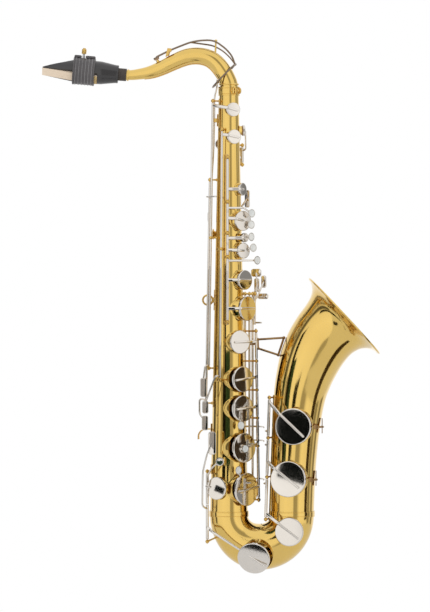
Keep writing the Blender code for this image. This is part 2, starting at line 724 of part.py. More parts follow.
def side_keys():
    """High E, side C and the long lever of side B flat. All three tone holes stand closed."""
    guides = (
        (-66, SIDE_E_HINGE.at(-0.0990)),
        (-66, SIDE_E_HINGE.at(0.0905)),
        (-66, SIDE_E_HINGE.at(0.2895)),
        (-35, SIDE_C_HINGE.at(-0.1160)),
        (-35, SIDE_C_HINGE.at(0.0740)),
        (-35, SIDE_C_HINGE.at(0.2480)),
        (-82, SIDE_B_FLAT_HINGE.at(-0.1500)),
        (-82, SIDE_B_FLAT_HINGE.at(0.1750)),
    )
    passage = LONG_ROD_RADIUS + POST_CLEARANCE
    cuts = [
        cylinder(SIDE_E_HINGE.at(0.0840), SIDE_E_HINGE.at(0.0970), passage),
        cylinder(SIDE_C_HINGE.at(0.0680), SIDE_C_HINGE.at(0.0800), passage),
    ]
    rib_with_posts("side_key_rib", SIDE_RIB_ANGLE, -0.1560, 0.2930, guides, 0.0042, cuts)

    face = outwards(-20)
    up = Vector((0, 0, 1))
    low, high = -0.0990 + POST_ROOM, 0.2895 - POST_ROOM
    touch = beside_body(-0.0372, -0.0165, -0.1270)
    knee = beside_body(-0.0350, -0.0165, -0.0960)
    shapes = [
        hinge_tube(SIDE_E_HINGE, low, high, LONG_ROD_RADIUS),
        cup(HIGH_E_HOLE),
        *cup_arm(SIDE_E_HINGE.at(0.2830), HIGH_E_HOLE, 0.007),
        wire([SIDE_E_HINGE.at(low + 0.0010), knee, touch + up * 0.0120], 0.0015),
        plate(touch, face, up, 0.0280, 0.0095),
    ]
    finished("side_e_key", shapes, nickel, pivot=SIDE_E_HINGE.at(low))

    low, high = -0.1160 + POST_ROOM, 0.2480 - POST_ROOM
    touch = beside_body(-0.0345, -0.0190, -0.1555)
    knee = beside_body(-0.0200, -0.0345, -0.1100)
    shapes = [
        hinge_tube(SIDE_C_HINGE, low, high, LONG_ROD_RADIUS),
        cup(SIDE_C_HOLE),
        *cup_arm(SIDE_C_HINGE.at(0.2405), SIDE_C_HOLE, 0.007),
        wire([SIDE_C_HINGE.at(low + 0.0030), knee, touch + up * 0.0060], 0.0015),
        plate(touch, face, up, 0.0185, 0.0095),
    ]
    finished("side_c_key", shapes, nickel, pivot=SIDE_C_HINGE.at(low))

    low, high = -0.1500 + POST_ROOM, 0.1750 - POST_ROOM
    touch = beside_body(-0.0350, -0.0215, -0.1785)
    knee = beside_body(-0.0430, -0.0085, -0.1430)
    ankle = beside_body(-0.0430, -0.0110, -0.1655)
    toe = beside_body(-0.0385, -0.0200, -0.1710)
    link = [
        SIDE_B_FLAT_HINGE.at(0.1500),
        beside_body(-0.0325, -0.0090, 0.1500),
        beside_body(-0.0325, -0.0180, 0.1500),
        round_body(-30, 0.0360, 0.1500),
    ]
    shapes = [
        hinge_tube(SIDE_B_FLAT_HINGE, low, high, LONG_ROD_RADIUS),
        wire([SIDE_B_FLAT_HINGE.at(low + 0.0010), knee, ankle, toe], 0.0015),
        plate(touch, face, up, 0.0215, 0.0095),
        wire(link, 0.0013),
    ]
    finished("side_b_flat_lever", shapes, nickel, pivot=SIDE_B_FLAT_HINGE.at(low))


# Palm keys: three short hinges on the far side, their tone holes closed at rest
PALM_REACH = 0.0248
PALM_TOUCH_REACH = 0.0330
PalmKey = namedtuple("PalmKey", "name hole hinge_angle low high touch_angle touch_z")
PALM_KEYS = (
    PalmKey("palm_f_key", PALM_F_HOLE, 128, 0.2010, 0.2230, 152, 0.2110),
    PalmKey("palm_e_flat_key", PALM_E_FLAT_HOLE, 184, 0.1830, 0.2050, 160, 0.1750),
    PalmKey("palm_d_key", PALM_D_HOLE, 154, 0.1200, 0.1440, 126, 0.1480),
)


def palm_hinge(key):
    foot = round_body(key.hinge_angle, PALM_REACH, key.low)
    return Hinge(foot, round_body(key.hinge_angle, PALM_REACH, key.high))


def palm_keys():
    """The three palm keys and the posts that carry them."""
    posts = []
    for key in PALM_KEYS:
        hinge = palm_hinge(key)
        posts.append((key.hinge_angle, hinge.at(key.low - POST_ROOM)))
        posts.append((key.hinge_angle, hinge.at(key.high + POST_ROOM)))
    rib_with_posts("palm_key_rib", 145, 0.1120, 0.2330, posts, 0.0042)
    for key in PALM_KEYS:
        hinge = palm_hinge(key)
        towards = math.copysign(1, key.hole.normal.cross(outwards(key.hinge_angle)).z)
        elbow_angle = key.hinge_angle - towards * 18
        arm_z = key.high - 0.0050
        elbow = round_body(elbow_angle, PALM_REACH + 0.0015, arm_z + 0.0020)
        middle = cup_back(key.hole, 0.0008)
        touch_normal = outwards(key.touch_angle)
        touch = round_body(key.touch_angle, PALM_TOUCH_REACH, key.touch_z)
        shapes = [
            hinge_tube(hinge, key.low, key.high),
            cup(key.hole),
            wire([hinge.at(arm_z), elbow, middle], 0.0014),
            wire([hinge.at(key.low + 0.0050), touch - touch_normal * 0.0004], 0.0015),
            plate(touch, touch_normal, Vector((0, 0, 1)), 0.0260, 0.0110),
        ]
        finished(key.name, shapes, nickel, pivot=hinge.at(key.low))



# Low E flat and low C: one hinge line at the player's right, below the side keys
LOW_HINGE = Hinge(beside_body(-0.0316, -0.0120, -0.3510), beside_body(-0.0316, -0.0120, -0.2490))
LOW_POST_HEIGHTS = (-0.3510, -0.2490)
LOW_KEYS_MEET_Z = -0.2972


def bow_post():
    """The post for the foot of the low key hinge, soldered to the bow."""
    tip = LOW_HINGE.at(LOW_POST_HEIGHTS[0])
    foot = tip + Vector((0.0135, 0.0040, 0.0060))
    return post(foot, tip)


def low_right_keys():
    """Low E flat, closed at rest, and low C on the bow, open at rest."""
    rib_with_posts("low_key_rib", -72, -0.2530, -0.2390, [(-72, LOW_HINGE.at(LOW_POST_HEIGHTS[1]))])
    low, high = LOW_KEYS_MEET_Z + 0.0005, LOW_POST_HEIGHTS[1] - POST_ROOM
    button = beside_body(-0.0138, -0.0370, -0.2338)
    shapes = [
        hinge_tube(LOW_HINGE, low, high),
        cup(LOW_E_FLAT_HOLE),
        *cup_arm(LOW_HINGE.at(-0.2700), LOW_E_FLAT_HOLE, 0.010),
        wire([LOW_HINGE.at(-0.2560), beside_body(-0.0240, -0.0310, -0.2420), button], 0.0014),
        turned_solid(button, (0, -1, 0), ((0.0, 0.0062), (TOUCH_THICKNESS, 0.0056)), SMALL_SIDES + 2),
    ]
    finished("low_e_flat_key", shapes, nickel, pivot=LOW_HINGE.at(low))

    low, high = LOW_POST_HEIGHTS[0] + POST_ROOM, LOW_KEYS_MEET_Z
    middle = cup_back(LOW_C_HOLE, 0.0006)
    knee = beside_body(-0.0225, -0.0370, -0.3335)
    near = knee + (middle - knee) * 0.52
    across = LOW_C_HOLE.normal.cross(middle - near)
    touch = beside_body(-0.0195, -0.0400, -0.2069)
    path = [
        LOW_HINGE.at(-0.3035),
        beside_body(-0.0375, -0.0215, -0.2995),
        beside_body(-0.0345, -0.0330, -0.2480),
        beside_body(-0.0262, -0.0400, -0.2200),
        touch,
    ]
    shapes = [
        hinge_tube(LOW_HINGE, low, high),
        cup(LOW_C_HOLE),
        wire([LOW_HINGE.at(-0.3300), knee, near, middle], 0.0016),
        bar(near, middle + (middle - near) * 0.6, across, ARM_WIDTH, ARM_THICKNESS),
        wire(path, 0.0014),
        plate(touch, outwards(-18), Vector((0, 0, 1)), 0.0330, 0.0126),
    ]
    turn(shapes, LOW_HINGE, -10)
    finished("low_c_key", shapes, nickel, pivot=LOW_HINGE.at(low))


# Bell keys: one hinge line between the body and the bell, on the player's right
BELL_HINGE = Hinge(
    beside_body(BELL_X - 0.0390, -0.0310, -0.3176), beside_body(BELL_X - 0.0337, -0.0310, -0.1413)
)
BELL_POST_HEIGHTS = (-0.3176, -0.2564, -0.1996, -0.1413)
BELL_RIB_TOP = beside_body(BELL_X - 0.0268, -0.0123, -0.1380)
BELL_RIB_BOTTOM = beside_body(BELL_X - 0.0331, -0.0110, -0.3210)
BELL_RIB_FACE = Vector((-0.95, -0.31, 0.0))
BELL_OPEN_ANGLE = -12
BELL_FOOT_REACH = beside_body(BELL_X - 0.0415, -0.0215, 0.0)


def bell_key(name, low_post, high_post, hole, arm_z, foot_z, open_angle, reach):
    """One of the three large keys on the bell side, with the foot that its table lever moves."""
    low, high = low_post + POST_ROOM, high_post - POST_ROOM
    foot = Vector((BELL_FOOT_REACH.x, BELL_FOOT_REACH.y, foot_z))
    shapes = [
        hinge_tube(BELL_HINGE, low, high),
        cup(hole),
        *cup_arm(BELL_HINGE.at(arm_z), hole, reach),
        wire([BELL_HINGE.at(foot_z), foot], 0.0014),
    ]
    turn(shapes, BELL_HINGE, open_angle)
    finished(name, shapes, nickel, pivot=BELL_HINGE.at(low))


def bell_keys():
    """Low B flat and low B on the bell, open at rest, and low C sharp on the bow, closed at rest."""
    across = BELL_RIB_FACE.cross(Vector((0, 0, 1)))
    shapes = [bar(BELL_RIB_BOTTOM, BELL_RIB_TOP, across, RIB_WIDTH, RIB_THICKNESS)]
    run = BELL_RIB_TOP - BELL_RIB_BOTTOM
    for z in BELL_POST_HEIGHTS:
        foot = BELL_RIB_BOTTOM + run * ((z - BELL_RIB_BOTTOM.z) / run.z)
        shapes.append(post(foot, BELL_HINGE.at(z)))
    finished("bell_key_rib", shapes, raw_brass)
    bottom, lower, upper, top = BELL_POST_HEIGHTS
    bell_key("low_b_flat_key", upper, top, LOW_B_FLAT_HOLE, -0.1480, -0.1900, BELL_OPEN_ANGLE, 0.018)
    bell_key("low_b_key", lower, upper, LOW_B_HOLE, -0.2340, -0.2100, BELL_OPEN_ANGLE, 0.017)
    bell_key("low_c_sharp_key", bottom, lower, LOW_C_SHARP_HOLE, -0.3090, -0.2660, 0, 0.014)


def bell_guard(name, hole, surface_x, edge_x):
    """A wire guard on the bell that stops a large cup when it opens."""
    foot = beside_body(surface_x, -0.0100, hole.foot.z)
    corner = beside_body(surface_x, -0.0610, hole.foot.z)
    tip = beside_body(edge_x, -0.0610, hole.foot.z)
    shapes = [
        wire([foot, corner, tip], 0.0014),
        bar(foot + Vector((0, 0, -0.0110)), foot + Vector((0, 0, 0.0110)), (0, 1, 0), 0.0060, 0.0012),
        turned_solid(tip, (0, 1, 0), ((-0.0016, 0.0036), (0.0016, 0.0036)), SMALL_SIDES),
    ]
    finished(name, shapes, raw_brass)


# Table keys: long levers on the far side of the body, from the little finger's touches to the bell keys
TABLE_REACH = 0.0385
TABLE_TOP_Z = 0.0060
TABLE_TOUCH_Y = TABLE_REACH - 0.0085
TableLever = namedtuple("TableLever", "name angle bottom touch_x touch_z width length elbow_rise")
TABLE_LEVERS = (
    TableLever("low_c_sharp_lever", 116, -0.2640, 0.0510, 0.0270, 0.0080, 0.0180, 0.0065),
    TableLever("low_b_lever", 129, -0.2080, 0.0408, 0.0220, 0.0080, 0.0200, 0.0052),
    TableLever("low_b_flat_lever", 142, -0.1880, 0.0500, 0.0056, 0.0160, 0.0085, 0.0078),
)
G_SHARP_LEVER_ANGLE = 103
G_SHARP_LEVER_BOTTOM = -0.0360


def table_hinge(angle, bottom):
    return Hinge(round_body(angle, TABLE_REACH, bottom), round_body(angle, TABLE_REACH, TABLE_TOP_Z))


def table_keys():
    """The left little finger's touches, each on its own lever."""
    posts = []
    for lever in TABLE_LEVERS:
        hinge = table_hinge(lever.angle, lever.bottom)
        foot_angle = max(lever.angle, 127)
        posts.append((foot_angle, hinge.at(TABLE_TOP_Z + POST_ROOM)))
        posts.append((foot_angle, hinge.at(lever.bottom - POST_ROOM)))
    g_sharp = table_hinge(G_SHARP_LEVER_ANGLE, G_SHARP_LEVER_BOTTOM)
    posts.append((G_SHARP_LEVER_ANGLE, g_sharp.at(TABLE_TOP_Z + POST_ROOM)))
    rib_with_posts("table_key_rib", 134, -0.2710, 0.0140, posts, 0.0042)
    face = Vector((0.35, 0.94, 0.0))
    for lever in TABLE_LEVERS:
        hinge = table_hinge(lever.angle, lever.bottom)
        touch = beside_body(lever.touch_x, TABLE_TOUCH_Y, lever.touch_z)
        link_z = lever.bottom + 0.0030
        elbow = round_body(lever.angle, TABLE_REACH + lever.elbow_rise, TABLE_TOP_Z - 0.0040)
        around = beside_body(TABLE_REACH + 0.0045, TABLE_REACH - 0.0125, link_z)
        shapes = [
            hinge_tube(hinge, lever.bottom, TABLE_TOP_Z, LONG_ROD_RADIUS),
            wire([hinge.at(TABLE_TOP_Z - 0.0040), elbow, touch], 0.0015),
            plate(touch, face, Vector((0, 0, 1)), lever.length, lever.width),
        ]
        bend = Vector((BELL_FOOT_REACH.x, 0.0100, link_z))
        end = Vector((BELL_FOOT_REACH.x, BELL_FOOT_REACH.y + 0.0065, link_z))
        shapes.append(wire([hinge.at(link_z), around, bend, end], 0.0014))
        finished(lever.name, shapes, nickel, pivot=hinge.at(lever.bottom))
    touch = beside_body(0.0400, TABLE_TOUCH_Y, 0.0400)
    link_z = G_SHARP_LEVER_BOTTOM + 0.0030
    shapes = [
        hinge_tube(g_sharp, G_SHARP_LEVER_BOTTOM, TABLE_TOP_Z, LONG_ROD_RADIUS),
        wire([g_sharp.at(TABLE_TOP_Z - 0.0120), beside_body(0.0410, 0.0170, 0.0220), touch], 0.0015),
        plate(touch, face, Vector((0, 0, 1)), 0.0120, 0.0160),
        wire([g_sharp.at(link_z), beside_body(0.0480, 0.0040, link_z)], 0.0013),
    ]
    finished("g_sharp_lever", shapes, nickel, pivot=g_sharp.at(G_SHARP_LEVER_BOTTOM))



# Neck, its cork and octave key, and the mouthpiece
CORK_RADIUS = 0.0091
CORK_WALL = 0.0016
CORK_LENGTH = 0.0340
NECK_END = beside_body(-0.1486, 0, 0.3278)
MOUTHPIECE_TILT = math.radians(4.7)
MOUTHPIECE_ROLL = math.radians(38)
MOUTHPIECE_AXIS = Vector((-math.cos(MOUTHPIECE_TILT), 0, math.sin(MOUTHPIECE_TILT)))
LIGATURE_UP = Vector((math.sin(MOUTHPIECE_TILT), 0, math.cos(MOUTHPIECE_TILT)))
MOUTHPIECE_UP = LIGATURE_UP * math.cos(MOUTHPIECE_ROLL) + Vector((0, math.sin(MOUTHPIECE_ROLL), 0))
MOUTHPIECE_SIDE = MOUTHPIECE_UP.cross(MOUTHPIECE_AXIS)
MOUTHPIECE_SHANK = NECK_END + MOUTHPIECE_AXIS * 0.0125
MOUTHPIECE_LENGTH = 0.1105
MOUTHPIECE_BORE_RADIUS = CORK_RADIUS + 0.0003
REED_GAP = 0.0003
REED_HALF_WIDTH = 0.0078
TABLE_HEEL = 0.0300
TABLE_DROP = 0.0120
TIP_UP = -0.0058

NECK_COLLAR_LENGTH = 0.0030
NECK_COLLAR_WALL = 0.0010
VENT_PLACE = beside_body(NECK_SECTIONS[3][0], 0, NECK_SECTIONS[3][1])
VENT_LEAN = Vector((-0.42, 0, 0.907))
VENT_RISE = 0.0130
VENT_RADIUS = 0.0024


def mouthpiece_point(along, up, side=0.0):
    """A point on the mouthpiece: along from its shank to its tip, away from its reed, and sideways."""
    return MOUTHPIECE_SHANK + MOUTHPIECE_AXIS * along + MOUTHPIECE_UP * up + MOUTHPIECE_SIDE * side


def table_up(along):
    """The height of the mouthpiece's table, which runs from its heel to the tip."""
    return -TABLE_DROP + (along - TABLE_HEEL) * (TIP_UP + TABLE_DROP) / (MOUTHPIECE_LENGTH - TABLE_HEEL)


def neck_stations():
    """Neck stations with the tube's direction at each, the corked end first."""
    tail = MOUTHPIECE_AXIS * (CORK_LENGTH + 0.0040)
    centres = [NECK_END + tail] + [beside_body(x, 0, z) for x, z, _ in NECK_SECTIONS]
    radii = [NECK_SECTIONS[0][2] - 0.0008] + [radius for _, _, radius in NECK_SECTIONS]
    centres.append(beside_body(0, 0, TENON_BOTTOM_Z))
    radii.append(TENON_RADIUS)
    stations = []
    for i, centre in enumerate(centres):
        before = centres[max(i - 1, 0)]
        after = centres[min(i + 1, len(centres) - 1)]
        direction = (after - before).normalized()
        stations.append((centre, direction, radii[i]))
    last, tenon = stations[-2], stations[-1]
    stations[-2] = (last[0], tenon[1], last[2])
    return stations


def neck():
    """The curved neck with its tenon, cork, octave vent and lever guide."""
    stations = neck_stations()
    skin = bent_tube(stations, 0.0, sides=CUP_SIDES)
    hollow = bent_tube(stations, NECK_WALL, 0.002, CUP_SIDES)
    collar_end = NECK_END - MOUTHPIECE_AXIS * NECK_COLLAR_LENGTH
    collar = cylinder(NECK_END, collar_end, NECK_SECTIONS[0][2] + NECK_COLLAR_WALL, CUP_SIDES)
    vent_foot = VENT_PLACE + VENT_LEAN * (VENT_RISE - 0.0040)
    pip = cylinder(vent_foot, VENT_PLACE + VENT_LEAN * VENT_RISE, VENT_RADIUS)
    guide_foot = beside_body(-0.0200, 0, 0.3560)
    guide = cylinder(guide_foot, beside_body(-0.0190, 0, 0.3795), 0.0019)
    finished("neck_tube", [skin, collar, pip, guide], lacquered_brass, cuts=[hollow])
    start = NECK_END + MOUTHPIECE_AXIS * 0.0008
    end = NECK_END + MOUTHPIECE_AXIS * CORK_LENGTH
    sleeve = cylinder(start, end, CORK_RADIUS, CUP_SIDES)
    spare = MOUTHPIECE_AXIS * 0.002
    bore = cylinder(start - spare, end + spare, CORK_RADIUS - CORK_WALL, CUP_SIDES)
    finished("neck_cork", [sleeve], cork, cuts=[bore])


SADDLE_HINGE = beside_body(-0.0860, 0, 0.3640)
SADDLE_HALF_GAP = 0.0034


def octave_saddle():
    """The cradle on top of the neck that carries the neck octave key."""
    along = VENT_LEAN.cross(Vector((0, 1, 0)))
    half = Vector((0, SADDLE_HALF_GAP + 0.0018, 0))
    base = beside_body(-0.0846, 0, 0.3450) + VENT_LEAN * 0.0121
    shapes = [bar(base - half, base + half, along, 0.0060, 0.0014)]
    for side in (-1, 1):
        ear = Vector((0, side * (SADDLE_HALF_GAP + 0.0010), 0))
        shapes.append(bar(base + ear, SADDLE_HINGE + ear + VENT_LEAN * 0.0026, along, 0.0050, 0.0016))
    finished("octave_saddle", shapes, raw_brass)


OCTAVE_LOOP_RIGHT = Vector((0.0088, 0, 0.3432))
OCTAVE_LOOP_LEFT = Vector((-0.0236, 0, 0.3100))
OCTAVE_LOOP_HALF_WIDTH = 0.0205


def neck_octave_key():
    """The neck's octave key: pad, saddle tube, lever over the bend and the loop round the tenon."""
    half = SADDLE_HALF_GAP - 0.0003
    tube = cylinder(SADDLE_HINGE - Vector((0, half, 0)), SADDLE_HINGE + Vector((0, half, 0)), 0.0022)
    seat = VENT_PLACE + VENT_LEAN * (VENT_RISE + SEAT_GAP)
    pad = turned_solid(seat, VENT_LEAN, ((0.0, 0.0040), (0.0042, 0.0046)), SMALL_SIDES + 2)
    path = [
        seat + VENT_LEAN * 0.0040,
        SADDLE_HINGE,
        beside_body(-0.0568, 0, 0.3755),
        beside_body(-0.0423, -0.0020, 0.3781),
        beside_body(-0.0219, -0.0040, 0.3785),
        beside_body(-0.0044, -0.0040, 0.3657),
        beside_body(0.0044, -0.0020, 0.3555),
        Vector((BODY_X, 0, 0)) + OCTAVE_LOOP_RIGHT,
    ]
    inner = [
        beside_body(-0.0568, 0, 0.3755),
        beside_body(-0.0233, 0.0040, 0.3712),
        beside_body(-0.0090, 0.0040, 0.3635),
        beside_body(0.0020, 0.0020, 0.3530),
        Vector((BODY_X, 0, 0)) + OCTAVE_LOOP_RIGHT,
    ]
    middle = (OCTAVE_LOOP_RIGHT + OCTAVE_LOOP_LEFT) / 2 + Vector((BODY_X, 0, 0))
    arm = (OCTAVE_LOOP_RIGHT - OCTAVE_LOOP_LEFT) / 2
    loop = []
    for i in range(17):
        a = 2 * math.pi * (i + 0.15) / 16.3
        loop.append(middle + arm * math.cos(a) + Vector((0, OCTAVE_LOOP_HALF_WIDTH * math.sin(a), 0)))
    knot = ball(Vector((BODY_X, 0, 0)) + OCTAVE_LOOP_RIGHT, (0, 0, 1), 0.0022)
    shapes = [tube, pad, wire(path, 0.0015), wire(inner, 0.0013), wire(loop, 0.0013), knot]
    finished("neck_octave_key", shapes, nickel, pivot=SADDLE_HINGE)


def mouthpiece():
    """The ebonite mouthpiece: bore, beak, table and the window under the reed."""
    rows = (
        (0.0, 0.0127), (0.0030, 0.0131), (0.0080, 0.0138), (0.0200, 0.0158), (0.0290, 0.0168),
        (0.0600, 0.0166), (0.0700, 0.0158), (MOUTHPIECE_LENGTH, 0.0102),
    )
    body = turned_solid(MOUTHPIECE_SHANK, MOUTHPIECE_AXIS, rows, TUBE_SIDES)
    bore = turned_solid(
        mouthpiece_point(-0.002, 0), MOUTHPIECE_AXIS,
        ((0.0, MOUTHPIECE_BORE_RADIUS), (0.0420, MOUTHPIECE_BORE_RADIUS), (0.0480, 0.0070), (0.0700, 0.0045)),
        CUP_SIDES,
    )
    length = MOUTHPIECE_LENGTH
    top = [
        mouthpiece_point(0.0540, 0.0190, -0.03),
        mouthpiece_point(0.0760, 0.0042, -0.03),
        mouthpiece_point(length + 0.004, TIP_UP - 0.0002, -0.03),
        mouthpiece_point(length + 0.004, 0.0300, -0.03),
        mouthpiece_point(0.0540, 0.0300, -0.03),
    ]
    table = [
        mouthpiece_point(TABLE_HEEL, -TABLE_DROP, -0.03),
        mouthpiece_point(TABLE_HEEL, -0.0300, -0.03),
        mouthpiece_point(length + 0.004, -0.0300, -0.03),
        mouthpiece_point(length + 0.004, table_up(length + 0.004), -0.03),
    ]
    across = MOUTHPIECE_SIDE * 0.06
    cuts = [bore] + [loft([corners, [c + across for c in corners]]) for corners in (top, table)]
    window = [
        mouthpiece_point(0.0640, -0.0150, -0.0054),
        mouthpiece_point(0.0640, -0.0020, -0.0054),
        mouthpiece_point(length - 0.012, -0.0048, -0.0054),
        mouthpiece_point(length - 0.012, -0.0150, -0.0054),
    ]
    cuts.append(loft([window, [c + MOUTHPIECE_SIDE * 0.0108 for c in window]]))
    finished("mouthpiece", [body], ebonite, cuts=cuts)


def reed():
    """The cane reed under the mouthpiece's table, thinning to its tip."""
    heel, knee, tip = TABLE_HEEL + 0.0005, 0.0680, MOUTHPIECE_LENGTH + 0.0005
    outline = []
    for along, thickness in ((heel, 0.0030), (knee, 0.0029), (tip, 0.0004)):
        top = table_up(along) - REED_GAP
        outline.append((along, top, top - thickness))
    ring_points = [mouthpiece_point(a, t, -REED_HALF_WIDTH) for a, t, _ in outline]
    ring_points += [mouthpiece_point(a, b, -REED_HALF_WIDTH) for a, _, b in reversed(outline)]
    across = MOUTHPIECE_SIDE * 2 * REED_HALF_WIDTH
    finished("reed", [loft([ring_points, [p + across for p in ring_points]])], cane)


LIGATURE_START = 0.0345
LIGATURE_END = 0.0665
LIGATURE_RADIUS = 0.0178
LIGATURE_WALL = 0.0024
LUG_HEIGHT = 0.0030
SCREW_ALONG = 0.0525
SCREW_NOTCH = 0.0056


def ligature_point(along, up):
    """A point over the mouthpiece's axis, straight up from it."""
    return MOUTHPIECE_SHANK + MOUTHPIECE_AXIS * along + LIGATURE_UP * up


def ligature():
    """The leather band that holds the reed, its two top lugs, and the screw between them."""
    start, end = ligature_point(LIGATURE_START, 0), ligature_point(LIGATURE_END, 0)
    outside = LIGATURE_RADIUS + LIGATURE_WALL
    band = cylinder(start, end, outside, TUBE_SIDES)
    spare = MOUTHPIECE_AXIS * 0.002
    hole = cylinder(start - spare, end + spare, LIGATURE_RADIUS, TUBE_SIDES)
    lugs = []
    lugs_end = (LIGATURE_START + 0.0005, LIGATURE_END - 0.0005)
    for low, high in (
        (lugs_end[0], SCREW_ALONG - SCREW_NOTCH / 2),
        (SCREW_ALONG + SCREW_NOTCH / 2, lugs_end[1]),
    ):
        middle = (low + high) / 2
        foot, top = ligature_point(middle, outside - 0.0012), ligature_point(middle, outside + LUG_HEIGHT)
        lugs.append(bar(foot, top, MOUTHPIECE_AXIS, high - low, 0.0085))
    socket_floor = ligature_point(SCREW_ALONG, LIGATURE_RADIUS + 0.0006)
    socket = cylinder(socket_floor, ligature_point(SCREW_ALONG, 0.0300), 0.0022)
    finished("ligature", [band, *lugs], leather, cuts=[hole, socket])
    stem = ligature_point(SCREW_ALONG, LIGATURE_RADIUS + 0.0010)
    rows = (
        (0.0, 0.0017), (0.0064, 0.0017), (0.0068, 0.0034),
        (0.0134, 0.0036), (0.0140, 0.0022), (0.0152, 0.0020),
    )
    screw = turned_solid(stem, LIGATURE_UP, rows, SMALL_SIDES + 2)
    finished("ligature_screw", [screw], raw_brass, pivot=stem)


RECEIVER_INNER_RADIUS = BODY_TOP_RADIUS + 0.0004
RECEIVER_OUTER_RADIUS = RECEIVER_INNER_RADIUS + 0.0013
RECEIVER_LOW = 0.2975
RECEIVER_HIGH = 0.3105
RECEIVER_EAR_ANGLE = 22
RECEIVER_EAR_REACH = 0.0220


def neck_receiver():
    """The split collar that clamps the neck's tenon, and its thumb screw."""
    low, high = Vector((BODY_X, 0, RECEIVER_LOW)), Vector((BODY_X, 0, RECEIVER_HIGH))
    band = cylinder(low, high, RECEIVER_OUTER_RADIUS, TUBE_SIDES)
    spare = Vector((0, 0, 0.002))
    bore = cylinder(low - spare, high + spare, RECEIVER_INNER_RADIUS, TUBE_SIDES)
    out = outwards(RECEIVER_EAR_ANGLE)
    side = outwards(RECEIVER_EAR_ANGLE + 90)
    middle_z = (RECEIVER_LOW + RECEIVER_HIGH) / 2
    ears = bar(
        round_body(RECEIVER_EAR_ANGLE, RECEIVER_OUTER_RADIUS - 0.0008, middle_z),
        round_body(RECEIVER_EAR_ANGLE, RECEIVER_EAR_REACH, middle_z),
        side, 0.0064, 0.0080,
    )
    slit = bar(
        round_body(RECEIVER_EAR_ANGLE, 0.0100, middle_z),
        round_body(RECEIVER_EAR_ANGLE, RECEIVER_EAR_REACH + 0.002, middle_z),
        side, 0.0012, 0.0200,
    )
    screw_place = round_body(RECEIVER_EAR_ANGLE, 0.0190, middle_z)
    hole = cylinder(screw_place - side * 0.006, screw_place + side * 0.006, 0.0018)
    finished("neck_receiver", [band, ears], lacquered_brass, cuts=[bore, slit, hole])
    rows = (
        (-0.0050, 0.0014), (0.0040, 0.0014), (0.0042, 0.0028),
        (0.0070, 0.0028), (0.0072, 0.0046), (0.0100, 0.0046),
    )
    screw = turned_solid(screw_place, side, rows, SMALL_SIDES + 2)
    finished("receiver_screw", [screw], raw_brass, pivot=screw_place)


STRAP_HOLE_RADIUS = 0.0056
STRAP_WIRE_RADIUS = 0.0014


def strap_ring():
    """The ring that the neck strap hooks into, on its plate behind the body. Its centre is the origin."""
    major = STRAP_HOLE_RADIUS + STRAP_WIRE_RADIUS
    bm = bmesh.new()
    loops = []
    for i in range(CUP_SIDES):
        a = 2 * math.pi * i / CUP_SIDES
        out = Vector((math.cos(a), 0, math.sin(a)))
        loop = []
        for j in range(POST_SIDES):
            b = 2 * math.pi * j / POST_SIDES
            reach = major + STRAP_WIRE_RADIUS * math.cos(b)
            loop.append(bm.verts.new(out * reach + Vector((0, STRAP_WIRE_RADIUS * math.sin(b), 0))))
        loops.append(loop)
    for i, loop in enumerate(loops):
        following = loops[(i + 1) % len(loops)]
        for j in range(POST_SIDES):
            k = (j + 1) % POST_SIDES
            bm.faces.new((loop[j], loop[k], following[k], following[j]))
    shapes = [shape(bm), strip(-90, -0.0150, 0.0150, 0.0080)]
    plate_x = BODY_X - body_radius(0) - RIB_GAP - RIB_THICKNESS * 0.6
    shapes.append(bar((major * 0.98, 0, 0), (plate_x, 0, 0), (0, 0, 1), 0.0080, 0.0026))
    finished("strap_ring", shapes, raw_brass)


def thumb_hook():
    """The hook behind the body that rests on the right thumb."""
    z = -0.1960
    shapes = [strip(-100, z - 0.0160, z + 0.0160, 0.0110)]
    start = round_body(-100, body_radius(z) + RIB_GAP + RIB_THICKNESS * 0.5, z + 0.0080)
    out = outwards(-100)
    down = Vector((0, 0, -1))
    path = [
        start,
        start + out * 0.0080,
        start + out * 0.0150 + down * 0.0020,
        start + out * 0.0190 + down * 0.0080,
        start + out * 0.0190 + down * 0.0150,
    ]
    for a, b in zip(path, path[1:]):
        run = (b - a).normalized() * 0.0008
        shapes.append(bar(a - run, b + run, outwards(-10), 0.0110, 0.0022))
    finished("thumb_hook", shapes, raw_brass)


def thumb_rest():
    """The round rest for the left thumb."""
    foot = round_body(-96, body_radius(0.0960) + RIB_GAP, 0.0960)
    rows = ((0.0, 0.0040), (0.0030, 0.0050), (0.0034, 0.0080), (0.0052, 0.0070))
    finished("thumb_rest", [turned_solid(foot, outwards(-96), rows, SMALL_SIDES + 2)], raw_brass)


OCTAVE_PIVOT = beside_body(-0.0212, 0.0070, 0.2620)


